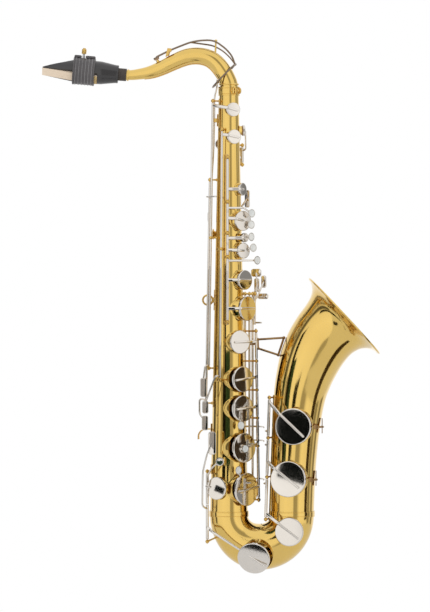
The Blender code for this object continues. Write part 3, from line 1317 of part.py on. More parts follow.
def thumb_octave_key():
    """The left thumb's octave lever: its touch, its long arm and the pin inside the neck's loop."""
    tube = cylinder(OCTAVE_PIVOT - Vector((0, 0.0032, 0)), OCTAVE_PIVOT + Vector((0, 0.0032, 0)), 0.0022)
    path = [
        beside_body(-0.0290, 0.0070, 0.1260),
        beside_body(-0.0265, 0.0070, 0.1500),
        beside_body(-0.0225, 0.0070, 0.2200),
        OCTAVE_PIVOT,
        beside_body(-0.0212, 0.0070, 0.2960),
        beside_body(-0.0172, 0.0050, 0.3110),
        beside_body(-0.0176, 0.0030, 0.3215),
    ]
    touch = plate(beside_body(-0.0292, 0.0070, 0.1210), outwards(-100), Vector((0, 0, 1)), 0.0150, 0.0140)
    finished("thumb_octave_key", [tube, wire(path, 0.0015), touch], nickel, pivot=OCTAVE_PIVOT)
    ears = [strip(-118, 0.2530, 0.2710, 0.0140)]
    plate_radius = body_radius(OCTAVE_PIVOT.z) + RIB_GAP + RIB_THICKNESS * 0.6
    for side in (-1, 1):
        y = OCTAVE_PIVOT.y + side * 0.0044
        foot = Vector((BODY_X - math.sqrt(plate_radius ** 2 - y ** 2), y, OCTAVE_PIVOT.z))
        ears.append(bar(foot, OCTAVE_PIVOT + Vector((-0.0030, side * 0.0044, 0)), (0, 0, 1), 0.0056, 0.0016))
    finished("octave_bracket", ears, raw_brass)


def bell_brace():
    """The wire brace between the body and the bell, with a foot on each."""
    y = 0.0085
    top_left = beside_body(0.0420, y, -0.0575)
    top_right = beside_body(BELL_X - 0.0120, 0.0020, -0.0550)
    low_right = beside_body(BELL_X - 0.0202, 0.0020, -0.0800)
    low_left = beside_body(0.0425, y, -0.0705)
    foot = round_body(97, body_radius(-0.0640) + RIB_GAP + 0.0005, -0.0640)
    shapes = [
        wire([top_left, top_right], 0.0016),
        wire([top_right, low_right], 0.0016),
        wire([low_right, low_left], 0.0016),
        wire([low_left, top_left], 0.0016),
        wire([foot, (top_left + low_left) / 2], 0.0018),
        strip(97, -0.0740, -0.0540, 0.0050),
    ]
    for corner in (top_left, top_right, low_right, low_left):
        shapes.append(ball(corner, (0, 1, 0), 0.0024))
    finished("bell_brace", shapes, raw_brass)


body_tube()
bow()
bell()
joint_ring("body_bow_ring", 0.0, max(BODY_BOTTOM_RADIUS, BOW_START_RADIUS))
joint_ring("bow_bell_ring", BELL_X, max(BOW_END_RADIUS, BELL_SECTIONS[0].radius))
upper_stack()
lower_stack()
side_keys()
palm_keys()
low_right_keys()
bell_keys()
bell_guard("low_b_flat_guard", LOW_B_FLAT_HOLE, BELL_X + 0.0434, BELL_X + 0.0325)
bell_guard("low_b_guard", LOW_B_HOLE, BELL_X + 0.0345, BELL_X + 0.0260)
table_keys()
neck()
octave_saddle()
neck_octave_key()
mouthpiece()
reed()
ligature()
neck_receiver()
strap_ring()
thumb_hook()
thumb_rest()
thumb_octave_key()
bell_brace()
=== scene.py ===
"""Looks of a tenor saxophone in lacquered brass with nickel keys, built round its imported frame. Metres, +Z up."""

import math
from collections import namedtuple

import bmesh
import bpy
from mathutils import Matrix, Vector, interpolate
from mathutils.bvhtree import BVHTree


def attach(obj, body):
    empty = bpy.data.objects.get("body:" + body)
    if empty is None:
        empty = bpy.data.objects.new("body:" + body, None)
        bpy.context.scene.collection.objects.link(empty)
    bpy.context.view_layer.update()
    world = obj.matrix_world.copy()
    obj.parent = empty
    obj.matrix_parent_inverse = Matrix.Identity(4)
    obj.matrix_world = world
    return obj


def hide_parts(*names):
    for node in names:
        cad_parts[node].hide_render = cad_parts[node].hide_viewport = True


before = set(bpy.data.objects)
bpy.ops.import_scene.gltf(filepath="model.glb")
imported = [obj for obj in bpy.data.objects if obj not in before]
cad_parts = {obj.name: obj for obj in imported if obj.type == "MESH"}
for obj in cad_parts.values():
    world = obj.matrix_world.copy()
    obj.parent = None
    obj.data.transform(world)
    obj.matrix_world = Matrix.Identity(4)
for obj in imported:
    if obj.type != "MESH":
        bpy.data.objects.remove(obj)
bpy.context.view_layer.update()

scene = bpy.context.scene
scene.view_settings.view_transform = "Standard"


# The studio: the instrument hangs by its strap ring over a pale round floor. Soft light comes from all round,
# with a grey gap behind the camera and a thin dark gap at each side, which draw the lines on the brass.
CAMERA_DISTANCE = 5.2
VIEW_HEIGHT = 0.8917
VIEW_CENTRE = Vector((0.0106, 0.0, -0.0087))
FLOOR_Z = -0.66
FLOOR_RADIUS = 1.8
lens = bpy.data.cameras.new("lens")
lens.sensor_fit = "VERTICAL"
lens.angle = 2 * math.atan(VIEW_HEIGHT / 2 / CAMERA_DISTANCE)
lens.clip_end = 60
camera = bpy.data.objects.new("camera", lens)
camera.location = VIEW_CENTRE - Vector((0, CAMERA_DISTANCE, 0))
camera.rotation_euler = (math.radians(90), 0, 0)
scene.collection.objects.link(camera)
scene.camera = camera

world = bpy.data.worlds.new("studio")
scene.world = world
world.use_nodes = True
world.node_tree.nodes["Background"].inputs["Color"].default_value = (1, 1, 1, 1)


def joined(tree, kind, inputs=(), **settings):
    """A shader node with its settings, and its inputs set or linked."""
    node = tree.nodes.new(kind)
    for key, value in settings.items():
        setattr(node, key, value)
    for key, value in dict(inputs).items():
        if isinstance(value, bpy.types.NodeSocket):
            tree.links.new(value, node.inputs[key])
        else:
            node.inputs[key].default_value = value
    return node


# The curtain all round, for the metal alone to mirror: (degrees from the camera's side towards the bell, brightness)
CURTAIN_RADIUS, CURTAIN_BOTTOM_Z, CURTAIN_TOP_Z = 3.0, -1.25, 2.5
CURTAIN_SHADES = (
    (-180, 1.05), (-134, 0.95), (-127, 0.12), (-106, 0.08), (-101, 0.85), (-92, 0.90), (-88, 0.12), (-79, 0.12),
    (-74, 1.0), (-34, 1.12), (4.5, 1.05), (8.5, 0.44), (24, 0.44), (31, 0.95), (38, 1.15), (48, 1.1),
    (80, 1.0), (85, 0.32), (95, 0.28), (99, 0.80), (106, 0.70), (111, 0.26), (120, 0.24), (126, 1.0), (180, 1.05),
)
WARM_WHITE = (1.0, 0.985, 0.96)
cloth = bpy.data.materials.new("curtain")
cloth.use_nodes = True
tree = cloth.node_tree
tree.nodes.clear()
heading = joined(tree, "ShaderNodeTexCoord")
split = joined(tree, "ShaderNodeSeparateXYZ", {0: heading.outputs["Object"]})
back = joined(tree, "ShaderNodeMath", {0: split.outputs["Y"], 1: -1.0}, operation="MULTIPLY")
angle = joined(tree, "ShaderNodeMath", {0: split.outputs["X"], 1: back.outputs[0]}, operation="ARCTAN2")
turnwise = joined(
    tree, "ShaderNodeMapRange", {"Value": angle.outputs[0], "From Min": -math.pi, "From Max": math.pi}
)
ramp = joined(tree, "ShaderNodeValToRGB", {0: turnwise.outputs[0]})
stops = ramp.color_ramp.elements
stops.remove(stops[1])
for i, (degrees, light) in enumerate(CURTAIN_SHADES):
    stop = stops[0] if i == 0 else stops.new(degrees / 360 + 0.5)
    stop.position = degrees / 360 + 0.5
    stop.color = (*(light * c for c in WARM_WHITE), 1)
shine = joined(tree, "ShaderNodeEmission", {"Color": ramp.outputs[0]})
joined(tree, "ShaderNodeOutputMaterial", {"Surface": shine.outputs[0]})
bm = bmesh.new()
bmesh.ops.create_cone(
    bm, segments=180, radius1=CURTAIN_RADIUS, radius2=CURTAIN_RADIUS, depth=CURTAIN_TOP_Z - CURTAIN_BOTTOM_Z,
    matrix=Matrix.Translation((0, 0, (CURTAIN_TOP_Z + CURTAIN_BOTTOM_Z) / 2)),
)
curtain_mesh = bpy.data.meshes.new("curtain")
bm.to_mesh(curtain_mesh)
bm.free()
curtain_mesh.materials.append(cloth)
curtain = bpy.data.objects.new("curtain", curtain_mesh)
curtain.visible_camera = curtain.visible_diffuse = curtain.visible_shadow = False
scene.collection.objects.link(curtain)

bm = bmesh.new()
bmesh.ops.create_circle(bm, cap_ends=True, segments=96, radius=FLOOR_RADIUS)
bm.transform(Matrix.Translation((0, 0, FLOOR_Z)))
floor_mesh = bpy.data.meshes.new("floor")
bm.to_mesh(floor_mesh)
bm.free()
floor = bpy.data.objects.new("floor", floor_mesh)
scene.collection.objects.link(floor)
paper = bpy.data.materials.new("paper")
paper.use_nodes = True
tree = paper.node_tree
tree.nodes.clear()
sight = joined(tree, "ShaderNodeLightPath")
lift = joined(tree, "ShaderNodeMath", {0: sight.outputs["Is Camera Ray"], 1: 0.26}, operation="MULTIPLY")
lit = joined(tree, "ShaderNodeBsdfDiffuse", {"Color": (0.80, 0.80, 0.80, 1)})
glow = joined(tree, "ShaderNodeEmission", {"Strength": lift.outputs[0]})
both = joined(tree, "ShaderNodeAddShader", {0: lit.outputs[0], 1: glow.outputs[0]})
joined(tree, "ShaderNodeOutputMaterial", {"Surface": both.outputs[0]})
floor_mesh.materials.append(paper)



def card(name, centre, width, height, lean=0.0, shade=(0.004, 0.005, 0.004)):
    """A card, near black unless given another shade, seen only in the metal's reflections: hidden from the camera,
    from diffuse light and from shadows.
    """
    dark = bpy.data.materials.new(name)
    dark.use_nodes = True
    dark.node_tree.nodes["Principled BSDF"].inputs["Base Color"].default_value = (*shade, 1)
    dark.node_tree.nodes["Principled BSDF"].inputs["Specular IOR Level"].default_value = 0.0
    centre = Vector(centre)
    facing = Vector((-centre.x, -centre.y, 0)).normalized()
    side = Vector((0, 0, 1)).cross(facing)
    spot = Matrix((side, facing.cross(side), facing)).transposed().to_4x4() @ Matrix.Rotation(math.radians(lean), 4, "Z")
    spot.translation = centre
    bm = bmesh.new()
    bmesh.ops.create_grid(bm, x_segments=1, y_segments=1, size=0.5, matrix=spot @ Matrix.Diagonal((width, height, 1, 1)))
    mesh = bpy.data.meshes.new(name)
    bm.to_mesh(mesh)
    bm.free()
    mesh.materials.append(dark)
    obj = bpy.data.objects.new(name, mesh)
    obj.visible_camera = obj.visible_diffuse = obj.visible_shadow = False
    scene.collection.objects.link(obj)


card("card_bell", (-0.001, -0.310, -0.2025), 0.092, 0.092)
card("card_low_b", (-0.020, -0.309, -0.2527), 0.062, 0.042, 15)
card("card_tube", (-0.036, -0.11, -0.109), 0.047, 0.318)
card("card_green", (0.015, -0.11, -0.155), 0.055, 0.170, shade=(0.035, 0.09, 0.07))
card("card_between", (0.078, 0.004, -0.200), 0.018, 0.260, shade=(0.03, 0.015, 0.006))
card("card_side", (0.300, -0.075, -0.190), 0.050, 0.300, shade=(0.06, 0.04, 0.022))
card("card_touches", (-0.090, -0.11, -0.160), 0.050, 0.130, shade=(0.50, 0.48, 0.46))
card("card_low_e_flat", (-0.092, -0.0825, -0.281), 0.019, 0.011, 20)
card("card_low_c", (-0.030, -0.250, -0.530), 0.130, 0.058, 12)


# Body tube: one conical tube of thin lacquered brass. Its tone holes are drawn out of the wall, so that each
# has a short chimney with a soft foot and a level rim. The lacquer is clear and glossy over polished metal.
BODY_X = 0.0310
BODY_TOP_Z, BODY_BOTTOM_Z = 0.3050, -0.3090
BODY_TOP_RADIUS, BODY_BOTTOM_RADIUS = 0.0140, 0.0275
TUBE_WALL = 0.0006
TUBE_SIDES = 128
CHIMNEY_HEIGHT, CHIMNEY_WALL = 0.0030, 0.0008
PAD_OVERHANG = 0.0020
CHIMNEY_SIDES = 56


def body_radius(z):
    share = (BODY_TOP_Z - z) / (BODY_TOP_Z - BODY_BOTTOM_Z)
    return BODY_TOP_RADIUS + share * (BODY_BOTTOM_RADIUS - BODY_TOP_RADIUS)


def outwards(degrees):
    """The way out from the body's axis, counted from the player's right towards the bell."""
    turned_by = math.radians(degrees)
    return Vector((math.sin(turned_by), -math.cos(turned_by), 0.0))


def round_body(degrees, reach, z):
    return Vector((BODY_X, 0.0, z)) + outwards(degrees) * reach


def beside_body(x, y, z):
    return Vector((BODY_X + x, y, z))


def polished(name, tone, deep, roughness, grain, coat=0.0, metallic=1.0, mottle=0.35, bump=0.05):
    """A finish with fine uneven polish, a slow drift between two tones, and an optional clear coat."""
    material = bpy.data.materials.new(name)
    material.use_nodes = True
    tree = material.node_tree
    shader = tree.nodes["Principled BSDF"]
    shader.inputs["Metallic"].default_value = metallic
    shader.inputs["Coat Weight"].default_value = coat
    shader.inputs["Coat Roughness"].default_value = 0.04
    place = joined(tree, "ShaderNodeTexCoord").outputs["Object"]
    fine = joined(tree, "ShaderNodeTexNoise", {"Vector": place, "Scale": grain, "Detail": 4.0})
    slow = joined(tree, "ShaderNodeTexNoise", {"Vector": place, "Scale": 16.0, "Detail": 3.0})
    drift = joined(
        tree, "ShaderNodeMapRange",
        {"Value": slow.outputs["Fac"], "From Min": 0.35, "From Max": 0.7, "To Max": mottle},
    )
    blend = joined(
        tree, "ShaderNodeMix",
        {"Factor": drift.outputs[0], "A": (*tone, 1), "B": (*deep, 1)}, data_type="RGBA",
    )
    wear = joined(
        tree, "ShaderNodeMapRange",
        {"Value": fine.outputs["Fac"], "From Min": 0.3, "From Max": 0.7,
         "To Min": roughness * 0.75, "To Max": roughness * 1.35},
    )
    dents = joined(
        tree, "ShaderNodeBump", {"Height": fine.outputs["Fac"], "Strength": bump, "Distance": 0.0002}
    )
    tree.links.new(blend.outputs["Result"], shader.inputs["Base Color"])
    tree.links.new(wear.outputs[0], shader.inputs["Roughness"])
    tree.links.new(dents.outputs[0], shader.inputs["Normal"])
    return material


lacquered_brass = polished(
    "lacquered_brass", (0.80, 0.555, 0.155), (0.66, 0.425, 0.095), 0.10, 700.0, coat=0.5, bump=0.02
)


def placing(origin, direction):
    """Where a shape made along +Z goes: its origin, and the way its axis points."""
    z = Vector(direction).normalized()
    guide = Vector((0, 1, 0)) if abs(z.y) < 0.9 else Vector((0, 0, 1))
    x = (guide - z * guide.dot(z)).normalized()
    spot = Matrix((x, z.cross(x), z)).transposed().to_4x4()
    spot.translation = Vector(origin)
    return spot


def eased(points, bend):
    """A line or outline with its corners rounded off."""
    points = [Vector(p) for p in points]
    line = [points[0]]
    for before, at, after in zip(points, points[1:], points[2:]):
        back, on = before - at, after - at
        cut = min(bend, back.length * 0.45, on.length * 0.45)
        start, end = at + back.normalized() * cut, at + on.normalized() * cut
        for t in (0.0, 0.25, 0.5, 0.75, 1.0):
            line.append(start * (1 - t) ** 2 + at * 2 * t * (1 - t) + end * t * t)
    return line + [points[-1]]


def turned(origin, direction, rows, steps=36, bend=0.0003, closed=False):
    """A piece from the lathe. Rows are (distance along its axis, radius)."""
    bm = bmesh.new()
    outline = eased([(radius, 0, along) for along, radius in rows], bend) if bend else rows
    if not bend:
        outline = [(radius, 0, along) for along, radius in rows]
    points = [bm.verts.new(p) for p in outline]
    for a, b in zip(points, points[1:]):
        bm.edges.new((a, b))
    if closed:
        bm.edges.new((points[-1], points[0]))
    bmesh.ops.spin(
        bm, geom=bm.verts[:] + bm.edges[:], cent=(0, 0, 0), axis=(0, 0, 1),
        angle=2 * math.pi, steps=steps, use_merge=True,
    )
    bmesh.ops.remove_doubles(bm, verts=bm.verts, dist=1e-7)
    if not closed:
        bmesh.ops.holes_fill(bm, edges=bm.edges, sides=0)
    bmesh.ops.recalc_face_normals(bm, faces=bm.faces)
    bm.transform(placing(origin, direction))
    return bm


def drawn(points, radii, sides=16, across=(0, 1, 0), flat=1.0, ends=True):
    """A rod or tube drawn along a line. Flat is its depth as a share of its width, which lies along across."""
    count = len(points)
    radii = list(radii) if hasattr(radii, "__len__") else [radii] * count
    bm = bmesh.new()
    edges, last = None, None
    side = Vector(across)
    for i, point in enumerate(points):
        way = (Vector(points[min(i + 1, count - 1)]) - Vector(points[max(i - 1, 0)])).normalized()
        side = side - way * side.dot(way)
        if side.length < 1e-4:
            side = way.orthogonal()
        side.normalize()
        spot = Matrix((side * radii[i], way.cross(side) * radii[i] * flat, way)).transposed().to_4x4()
        spot.translation = Vector(point)
        if edges is None:
            bmesh.ops.create_circle(bm, cap_ends=False, segments=sides, radius=1.0, matrix=spot)
            edges = bm.edges[:]
        else:
            made = bmesh.ops.extrude_edge_only(bm, edges=edges)["geom"]
            fresh = {part for part in made if isinstance(part, bmesh.types.BMVert)}
            bmesh.ops.transform(bm, matrix=spot @ last.inverted(), verts=list(fresh))
            edges = [
                part for part in made
                if isinstance(part, bmesh.types.BMEdge) and part.verts[0] in fresh and part.verts[1] in fresh
            ]
        last = spot
    if ends:
        bmesh.ops.holes_fill(bm, edges=bm.edges, sides=0)
    bmesh.ops.recalc_face_normals(bm, faces=bm.faces)
    return bm


def rod(points, radius, bend=0.004, sides=14, across=(0, 1, 0), flat=1.0, tip=1.0):
    """A bent rod with rounded ends, which may thin towards its tip."""
    line = eased(points, bend)
    count = len(line)
    radii = [radius * (1 + (tip - 1) * i / (count - 1)) for i in range(count)]
    first = (line[1] - line[0]).normalized() * radius
    final = (line[-1] - line[-2]).normalized() * radius * tip
    points = [line[0] - first * 0.0, line[0] + first * 0.25, line[0] + first * 0.8]
    points += line[1:-1]
    points += [line[-1] - final * 0.8, line[-1] - final * 0.25, line[-1]]
    radii = [radius * 0.55, radius * 0.86, radius] + radii[1:-1] + [radii[-1], radii[-1] * 0.86, radii[-1] * 0.55]
    return drawn(points, radii, sides, across, flat)


def gathered(shapes):
    """Several loose shapes as one."""
    whole = bmesh.new()
    for shape in shapes:
        mesh = bpy.data.meshes.new("loose")
        shape.to_mesh(mesh)
        shape.free()
        whole.from_mesh(mesh)
        bpy.data.meshes.remove(mesh)
    return whole


def piece(name, shapes, material, body="body", replaced=(), crease=32):
    """One finished piece of the instrument, riding on its body."""
    whole = gathered(shapes)
    mesh = bpy.data.meshes.new(name)
    whole.to_mesh(mesh)
    whole.free()
    mesh.shade_smooth()
    mesh.set_sharp_from_angle(angle=math.radians(crease))
    mesh.materials.append(material)
    obj = bpy.data.objects.new(name, mesh)
    scene.collection.objects.link(obj)
    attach(obj, body)
    if replaced:
        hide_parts(*replaced)
    return obj


ToneHole = namedtuple("ToneHole", "foot normal radius rise cup")


def body_hole(degrees, z, radius, cup=None):
    cup = cup or radius + PAD_OVERHANG
    return ToneHole(Vector((BODY_X, 0.0, z)), outwards(degrees), radius, body_radius(z) + CHIMNEY_HEIGHT, cup)


HIGH_E_HOLE = body_hole(17, 0.2765, 0.0082)
SIDE_C_HOLE = body_hole(20, 0.2370, 0.0084)
SIDE_B_FLAT_HOLE = body_hole(56, 0.1610, 0.0075)
PALM_F_HOLE = body_hole(98, 0.2470, 0.0060)
PALM_E_FLAT_HOLE = body_hole(214, 0.2280, 0.0066)
PALM_D_HOLE = body_hole(188, 0.1605, 0.0075)
B_HOLE = body_hole(50, 0.1150, 0.0128)
BIS_HOLE = body_hole(58, 0.0905, 0.0050)
A_HOLE = body_hole(50, 0.0715, 0.0095)
G_HOLE = body_hole(54, 0.0290, 0.0124)
LOW_G_HOLE = body_hole(62, -0.0124, 0.0162)
G_SHARP_HOLE = body_hole(34, -0.0610, 0.0150)
F_SHARP_HOLE = body_hole(32, -0.1150, 0.0168)
F_HOLE = body_hole(31, -0.1574, 0.0172)
E_HOLE = body_hole(33, -0.2142, 0.0195)
D_HOLE = body_hole(39, -0.2745, 0.0180, 0.0242)
LOW_E_FLAT_HOLE = body_hole(-33, -0.2730, 0.0122, 0.0165)
BODY_HOLES = (
    HIGH_E_HOLE, SIDE_C_HOLE, SIDE_B_FLAT_HOLE, PALM_F_HOLE, PALM_E_FLAT_HOLE, PALM_D_HOLE, B_HOLE, BIS_HOLE,
    A_HOLE, G_HOLE, LOW_G_HOLE, G_SHARP_HOLE, F_SHARP_HOLE, F_HOLE, E_HOLE, D_HOLE, LOW_E_FLAT_HOLE,
)


def chimney(hole, tree):
    """A drawn chimney: its lining, its level rim, and an outer wall that flows out onto the tube."""
    spot = placing(hole.foot, hole.normal)
    outer = hole.radius + CHIMNEY_WALL
    rim = hole.rise
    rows = (
        (hole.radius, -0.0010, False), (hole.radius, rim - 0.0003, True), (hole.radius + 0.0002, rim, True),
        (outer - 0.0002, rim, True), (outer, rim - 0.0003, True), (outer, 0.0012, False),
        (outer + 0.00025, 0.0006, False), (outer + 0.0007, 0.0002, False), (outer + 0.0014, -0.0001, False),
    )
    bm = bmesh.new()
    edges = None
    for reach, height, fixed in rows:
        if edges is None:
            bmesh.ops.create_circle(bm, cap_ends=False, segments=CHIMNEY_SIDES, radius=reach)
            fresh = set(bm.verts)
            edges = bm.edges[:]
        else:
            made = bmesh.ops.extrude_edge_only(bm, edges=edges)["geom"]
            fresh = {part for part in made if isinstance(part, bmesh.types.BMVert)}
            edges = [
                part for part in made
                if isinstance(part, bmesh.types.BMEdge) and part.verts[0] in fresh and part.verts[1] in fresh
            ]
        for vert in fresh:
            flat = Vector((vert.co.x, vert.co.y, 0)).normalized() * reach
            top = spot @ (flat + Vector((0, 0, 0.09)))
            hit = tree.ray_cast(top, -hole.normal)[0]
            level = 0.09 - (top - hit).length if hit else 0.0
            flat.z = height if fixed else min(level + height, rim - 0.0004)
            vert.co = flat
    bmesh.ops.recalc_face_normals(bm, faces=bm.faces)
    bm.transform(spot)
    return bm


def drilled(name, skin, wall, holes, replaced):
    """A tube with a real wall and open tone holes, whose outside keeps the even shading of the whole skin."""
    tree = BVHTree.FromBMesh(skin)
    chimneys = [chimney(hole, tree) for hole in holes]
    mesh = bpy.data.meshes.new(name)
    skin.to_mesh(mesh)
    obj = bpy.data.objects.new(name, mesh)
    scene.collection.objects.link(obj)
    thick = obj.modifiers.new("wall", "SOLIDIFY")
    thick.thickness = wall
    thick.offset = -1
    thick.use_even_offset = True
    drill_mesh = bpy.data.meshes.new("drill")
    drills = []
    for hole in holes:
        deep = hole.rise - CHIMNEY_HEIGHT - wall
        start = math.sqrt(max(deep ** 2 - hole.radius ** 2, 0)) - 0.0008
        rows = ((start, 0.0), (start, hole.radius), (hole.rise + 0.01, hole.radius), (hole.rise + 0.01, 0.0))
        drills.append(turned(hole.foot, hole.normal, rows, CHIMNEY_SIDES, 0))
    drills = gathered(drills)
    drills.to_mesh(drill_mesh)
    drills.free()
    drill = bpy.data.objects.new("drill", drill_mesh)
    scene.collection.objects.link(drill)
    cut = obj.modifiers.new("holes", "BOOLEAN")
    cut.operation = "DIFFERENCE"
    cut.object = drill
    cut.solver = "EXACT"
    bpy.context.view_layer.update()
    done = bpy.data.meshes.new_from_object(obj.evaluated_get(bpy.context.evaluated_depsgraph_get()))
    obj.modifiers.clear()
    obj.data = done
    done.name = name
    bpy.data.objects.remove(drill)
    done.shade_smooth()
    done.set_sharp_from_angle(angle=math.radians(32))
    skin.faces.ensure_lookup_table()
    normals = [corner.vector.copy() for corner in done.corner_normals]
    for face in done.polygons:
        near, way, index, gap = tree.find_nearest(face.center)
        if gap > wall * 0.4 or way.dot(face.normal) < 0.6:
            continue
        for loop in face.loop_indices:
            point = done.vertices[done.loops[loop].vertex_index].co
            near, way, index, gap = tree.find_nearest(point)
            corners = skin.faces[index].verts
            shares = interpolate.poly_3d_calc([v.co for v in corners], near)
            even = Vector()
            for share, vert in zip(shares, corners):
                even += vert.normal * share
            normals[loop] = even.normalized()
    done.normals_split_custom_set(normals)
    done.materials.clear()
    done.materials.append(lacquered_brass)
    skin.free()
    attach(obj, "body")
    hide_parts(*replaced)
    piece(name + "_chimneys", chimneys, lacquered_brass, crease=50)
    return obj


heights = [BODY_BOTTOM_Z + (BODY_TOP_Z - BODY_BOTTOM_Z) * i / 60 for i in range(61)]
skin = drawn(
    [Vector((BODY_X, 0, z)) for z in heights], [body_radius(z) for z in heights], TUBE_SIDES, ends=False
)
drilled("body_tube_skin", skin, TUBE_WALL, BODY_HOLES, ["body_tube"])


# Bow: the U that joins the body to the bell, formed in two halves and brazed, with two tone holes.
BOW_CENTRE_Z, BOW_BEND_RADIUS = -0.3133, 0.0460
BOW_START_RADIUS, BOW_BOTTOM_RADIUS, BOW_END_RADIUS = 0.0277, 0.0336, 0.0318


def side_hole(x, z, tilt_x, tilt_z, radius, rise):
    normal = Vector((tilt_x, -1.0, tilt_z)).normalized()
    return ToneHole(beside_body(x, 0.0, z), normal, radius, rise, radius + PAD_OVERHANG)


LOW_C_HOLE = side_hole(0.0430, -0.3590, -0.05, -0.36, 0.0218, 0.0370)
LOW_C_SHARP_HOLE = side_hole(0.0870, -0.3355, 0.0, 0.0, 0.0186, 0.0365)
bend_centre = Vector((BODY_X + BOW_BEND_RADIUS, 0, BOW_CENTRE_Z))
line, radii = [], []
for i in range(61):
    turn_by = math.pi * i / 60
    line.append(bend_centre + Vector((-math.cos(turn_by), 0, -math.sin(turn_by))) * BOW_BEND_RADIUS)
    end_radius = BOW_START_RADIUS if i <= 30 else BOW_END_RADIUS
    radii.append(end_radius + math.sin(turn_by) ** 2 * (BOW_BOTTOM_RADIUS - end_radius))
drilled(
    "bow_skin", drawn(line, radii, TUBE_SIDES, ends=False), 0.0008, (LOW_C_HOLE, LOW_C_SHARP_HOLE), ["bow"],
)


# Bell: spun over a mandrel from sheet brass, with two tone holes in its side and a rim rolled over a wire.
# Each section: place beside the body axis, height, radius and tilt towards the mouth
BELL_SECTIONS = (
    (0.0920, -0.3090, 0.0318, 0.0), (0.0930, -0.2600, 0.0327, 1.0), (0.0952, -0.2180, 0.0336, 3.0),
    (0.0982, -0.1780, 0.0353, 6.0), (0.1027, -0.1410, 0.0379, 10.0), (0.1085, -0.1150, 0.0408, 17.0),
    (0.1155, -0.0930, 0.0437, 25.0), (0.1260, -0.0705, 0.0460, 31.0), (0.1385, -0.0520, 0.0477, 35.5),
    (0.1500, -0.0403, 0.0502, 40.0), (0.1575, -0.0335, 0.0540, 43.5), (0.1622, -0.0290, 0.0590, 45.5),
    (0.1655, -0.0258, 0.0660, 46.5), (0.1678, -0.0235, 0.0748, 47.0),
)
BELL_BEAD_RADIUS = 0.0014
BELL_STEPS = 6
LOW_B_HOLE = side_hole(0.0900, -0.2590, -0.06, 0.0, 0.0240, 0.0362)
LOW_B_FLAT_HOLE = side_hole(0.0970, -0.1829, -0.04, 0.0, 0.0245, 0.0386)


def between(before, start, end, after, t):
    """A smooth curve's value a share t of the way from start to end."""
    return 0.5 * (
        2 * start + (end - before) * t + (2 * before - 5 * start + 4 * end - after) * t ** 2
        + (3 * start - before - 3 * end + after) * t ** 3
    )


def smooth_rows(rows, steps):
    """Rows of numbers with smooth rows filled in between."""
    filled = []
    for i in range(len(rows) - 1):
        four = rows[max(i - 1, 0)], rows[i], rows[i + 1], rows[min(i + 2, len(rows) - 1)]
        for k in range(steps):
            filled.append(tuple(between(*values, k / steps) for values in zip(*four)))
    return filled + [tuple(rows[-1])]


bm = bmesh.new()
edges = None
for x, z, radius, tilt in smooth_rows(BELL_SECTIONS, BELL_STEPS):
    lean = math.radians(tilt)
    spot = placing(beside_body(x, 0, z), (math.sin(lean), 0, math.cos(lean))) @ Matrix.Scale(radius, 4)
    if edges is None:
        bmesh.ops.create_circle(bm, cap_ends=False, segments=TUBE_SIDES, radius=1.0, matrix=spot)
        edges = bm.edges[:]
    else:
        made = bmesh.ops.extrude_edge_only(bm, edges=edges)["geom"]
        fresh = {part for part in made if isinstance(part, bmesh.types.BMVert)}
        bmesh.ops.transform(bm, matrix=spot @ last.inverted(), verts=list(fresh))
        edges = [
            part for part in made
            if isinstance(part, bmesh.types.BMEdge) and part.verts[0] in fresh and part.verts[1] in fresh
        ]
    last = spot
bmesh.ops.recalc_face_normals(bm, faces=bm.faces)
bm.normal_update()
drilled("bell_skin", bm, 0.0008, (LOW_B_HOLE, LOW_B_FLAT_HOLE), ["bell"])
rim_x, rim_z, rim_radius, rim_tilt = BELL_SECTIONS[-1]
lean = math.radians(rim_tilt)
bead = [
    (BELL_BEAD_RADIUS * math.sin(a), rim_radius - BELL_BEAD_RADIUS * 0.5 + BELL_BEAD_RADIUS * math.cos(a))
    for a in (2 * math.pi * i / 16 for i in range(16))
]
piece(
    "bell_rim",
    [turned(beside_body(rim_x, 0, rim_z), (math.sin(lean), 0, math.cos(lean)), bead, 128, 0, closed=True)],
    lacquered_brass,
)


# Joint rings: a turned brass ferrule over each joint of the bow, soft-soldered, with a turned line at each edge.
RING_HEIGHT, RING_WALL, RING_GAP = 0.0080, 0.0009, 0.0005
for name, x, radius in (("body_bow_ring", 0.0, BOW_START_RADIUS), ("bow_bell_ring", 0.0920, BOW_END_RADIUS)):
    inner, outer, top = radius + RING_GAP, radius + RING_GAP + RING_WALL, RING_HEIGHT
    rows = (
        (0.0, inner), (0.0, outer), (0.0011, outer), (0.0013, outer - 0.0003), (0.0015, outer),
        (top - 0.0015, outer), (top - 0.0013, outer - 0.0003), (top - 0.0011, outer), (top, outer), (top, inner),
    )
    low = beside_body(x, 0, (BODY_BOTTOM_Z + BOW_CENTRE_Z) / 2 - RING_HEIGHT / 2)
    piece(
        name + "_metal", [turned(low, (0, 0, 1), rows, 96, 0.0001, closed=True)], lacquered_brass,
        replaced=[name],
    )


# Keywork: nickel-plated keys. Each has a hinge tube over a steel rod, an arm, and a cup that holds a leather pad.
# A cup is pressed from sheet, so its edge is round and its back a shade domed.
OPEN_LOW_G, OPEN_G, OPEN_UPPER, OPEN_LOWER, OPEN_BELL, OPEN_LOW_C = -12, -9, -10, 8, -12, -10
TUBE_RADIUS, LONG_ROD_RADIUS, ROD_RADIUS = 0.0021, 0.0017, 0.0011
ARM_WIDTH, ARM_THICKNESS = 0.0034, 0.0018
CUP_RIB_WIDTH, RIB_RISE = 0.0052, 0.0034
PAD_THICKNESS, CUP_THICKNESS, SEAT_GAP = 0.0030, 0.0016, 0.0004
PEARL_RADIUS, PEARL_THICKNESS = 0.0062, 0.0026
POST_RADIUS, POST_BALL_RADIUS, POST_ROOM = 0.0016, 0.0028, 0.0032
UP = Vector((0, 0, 1))

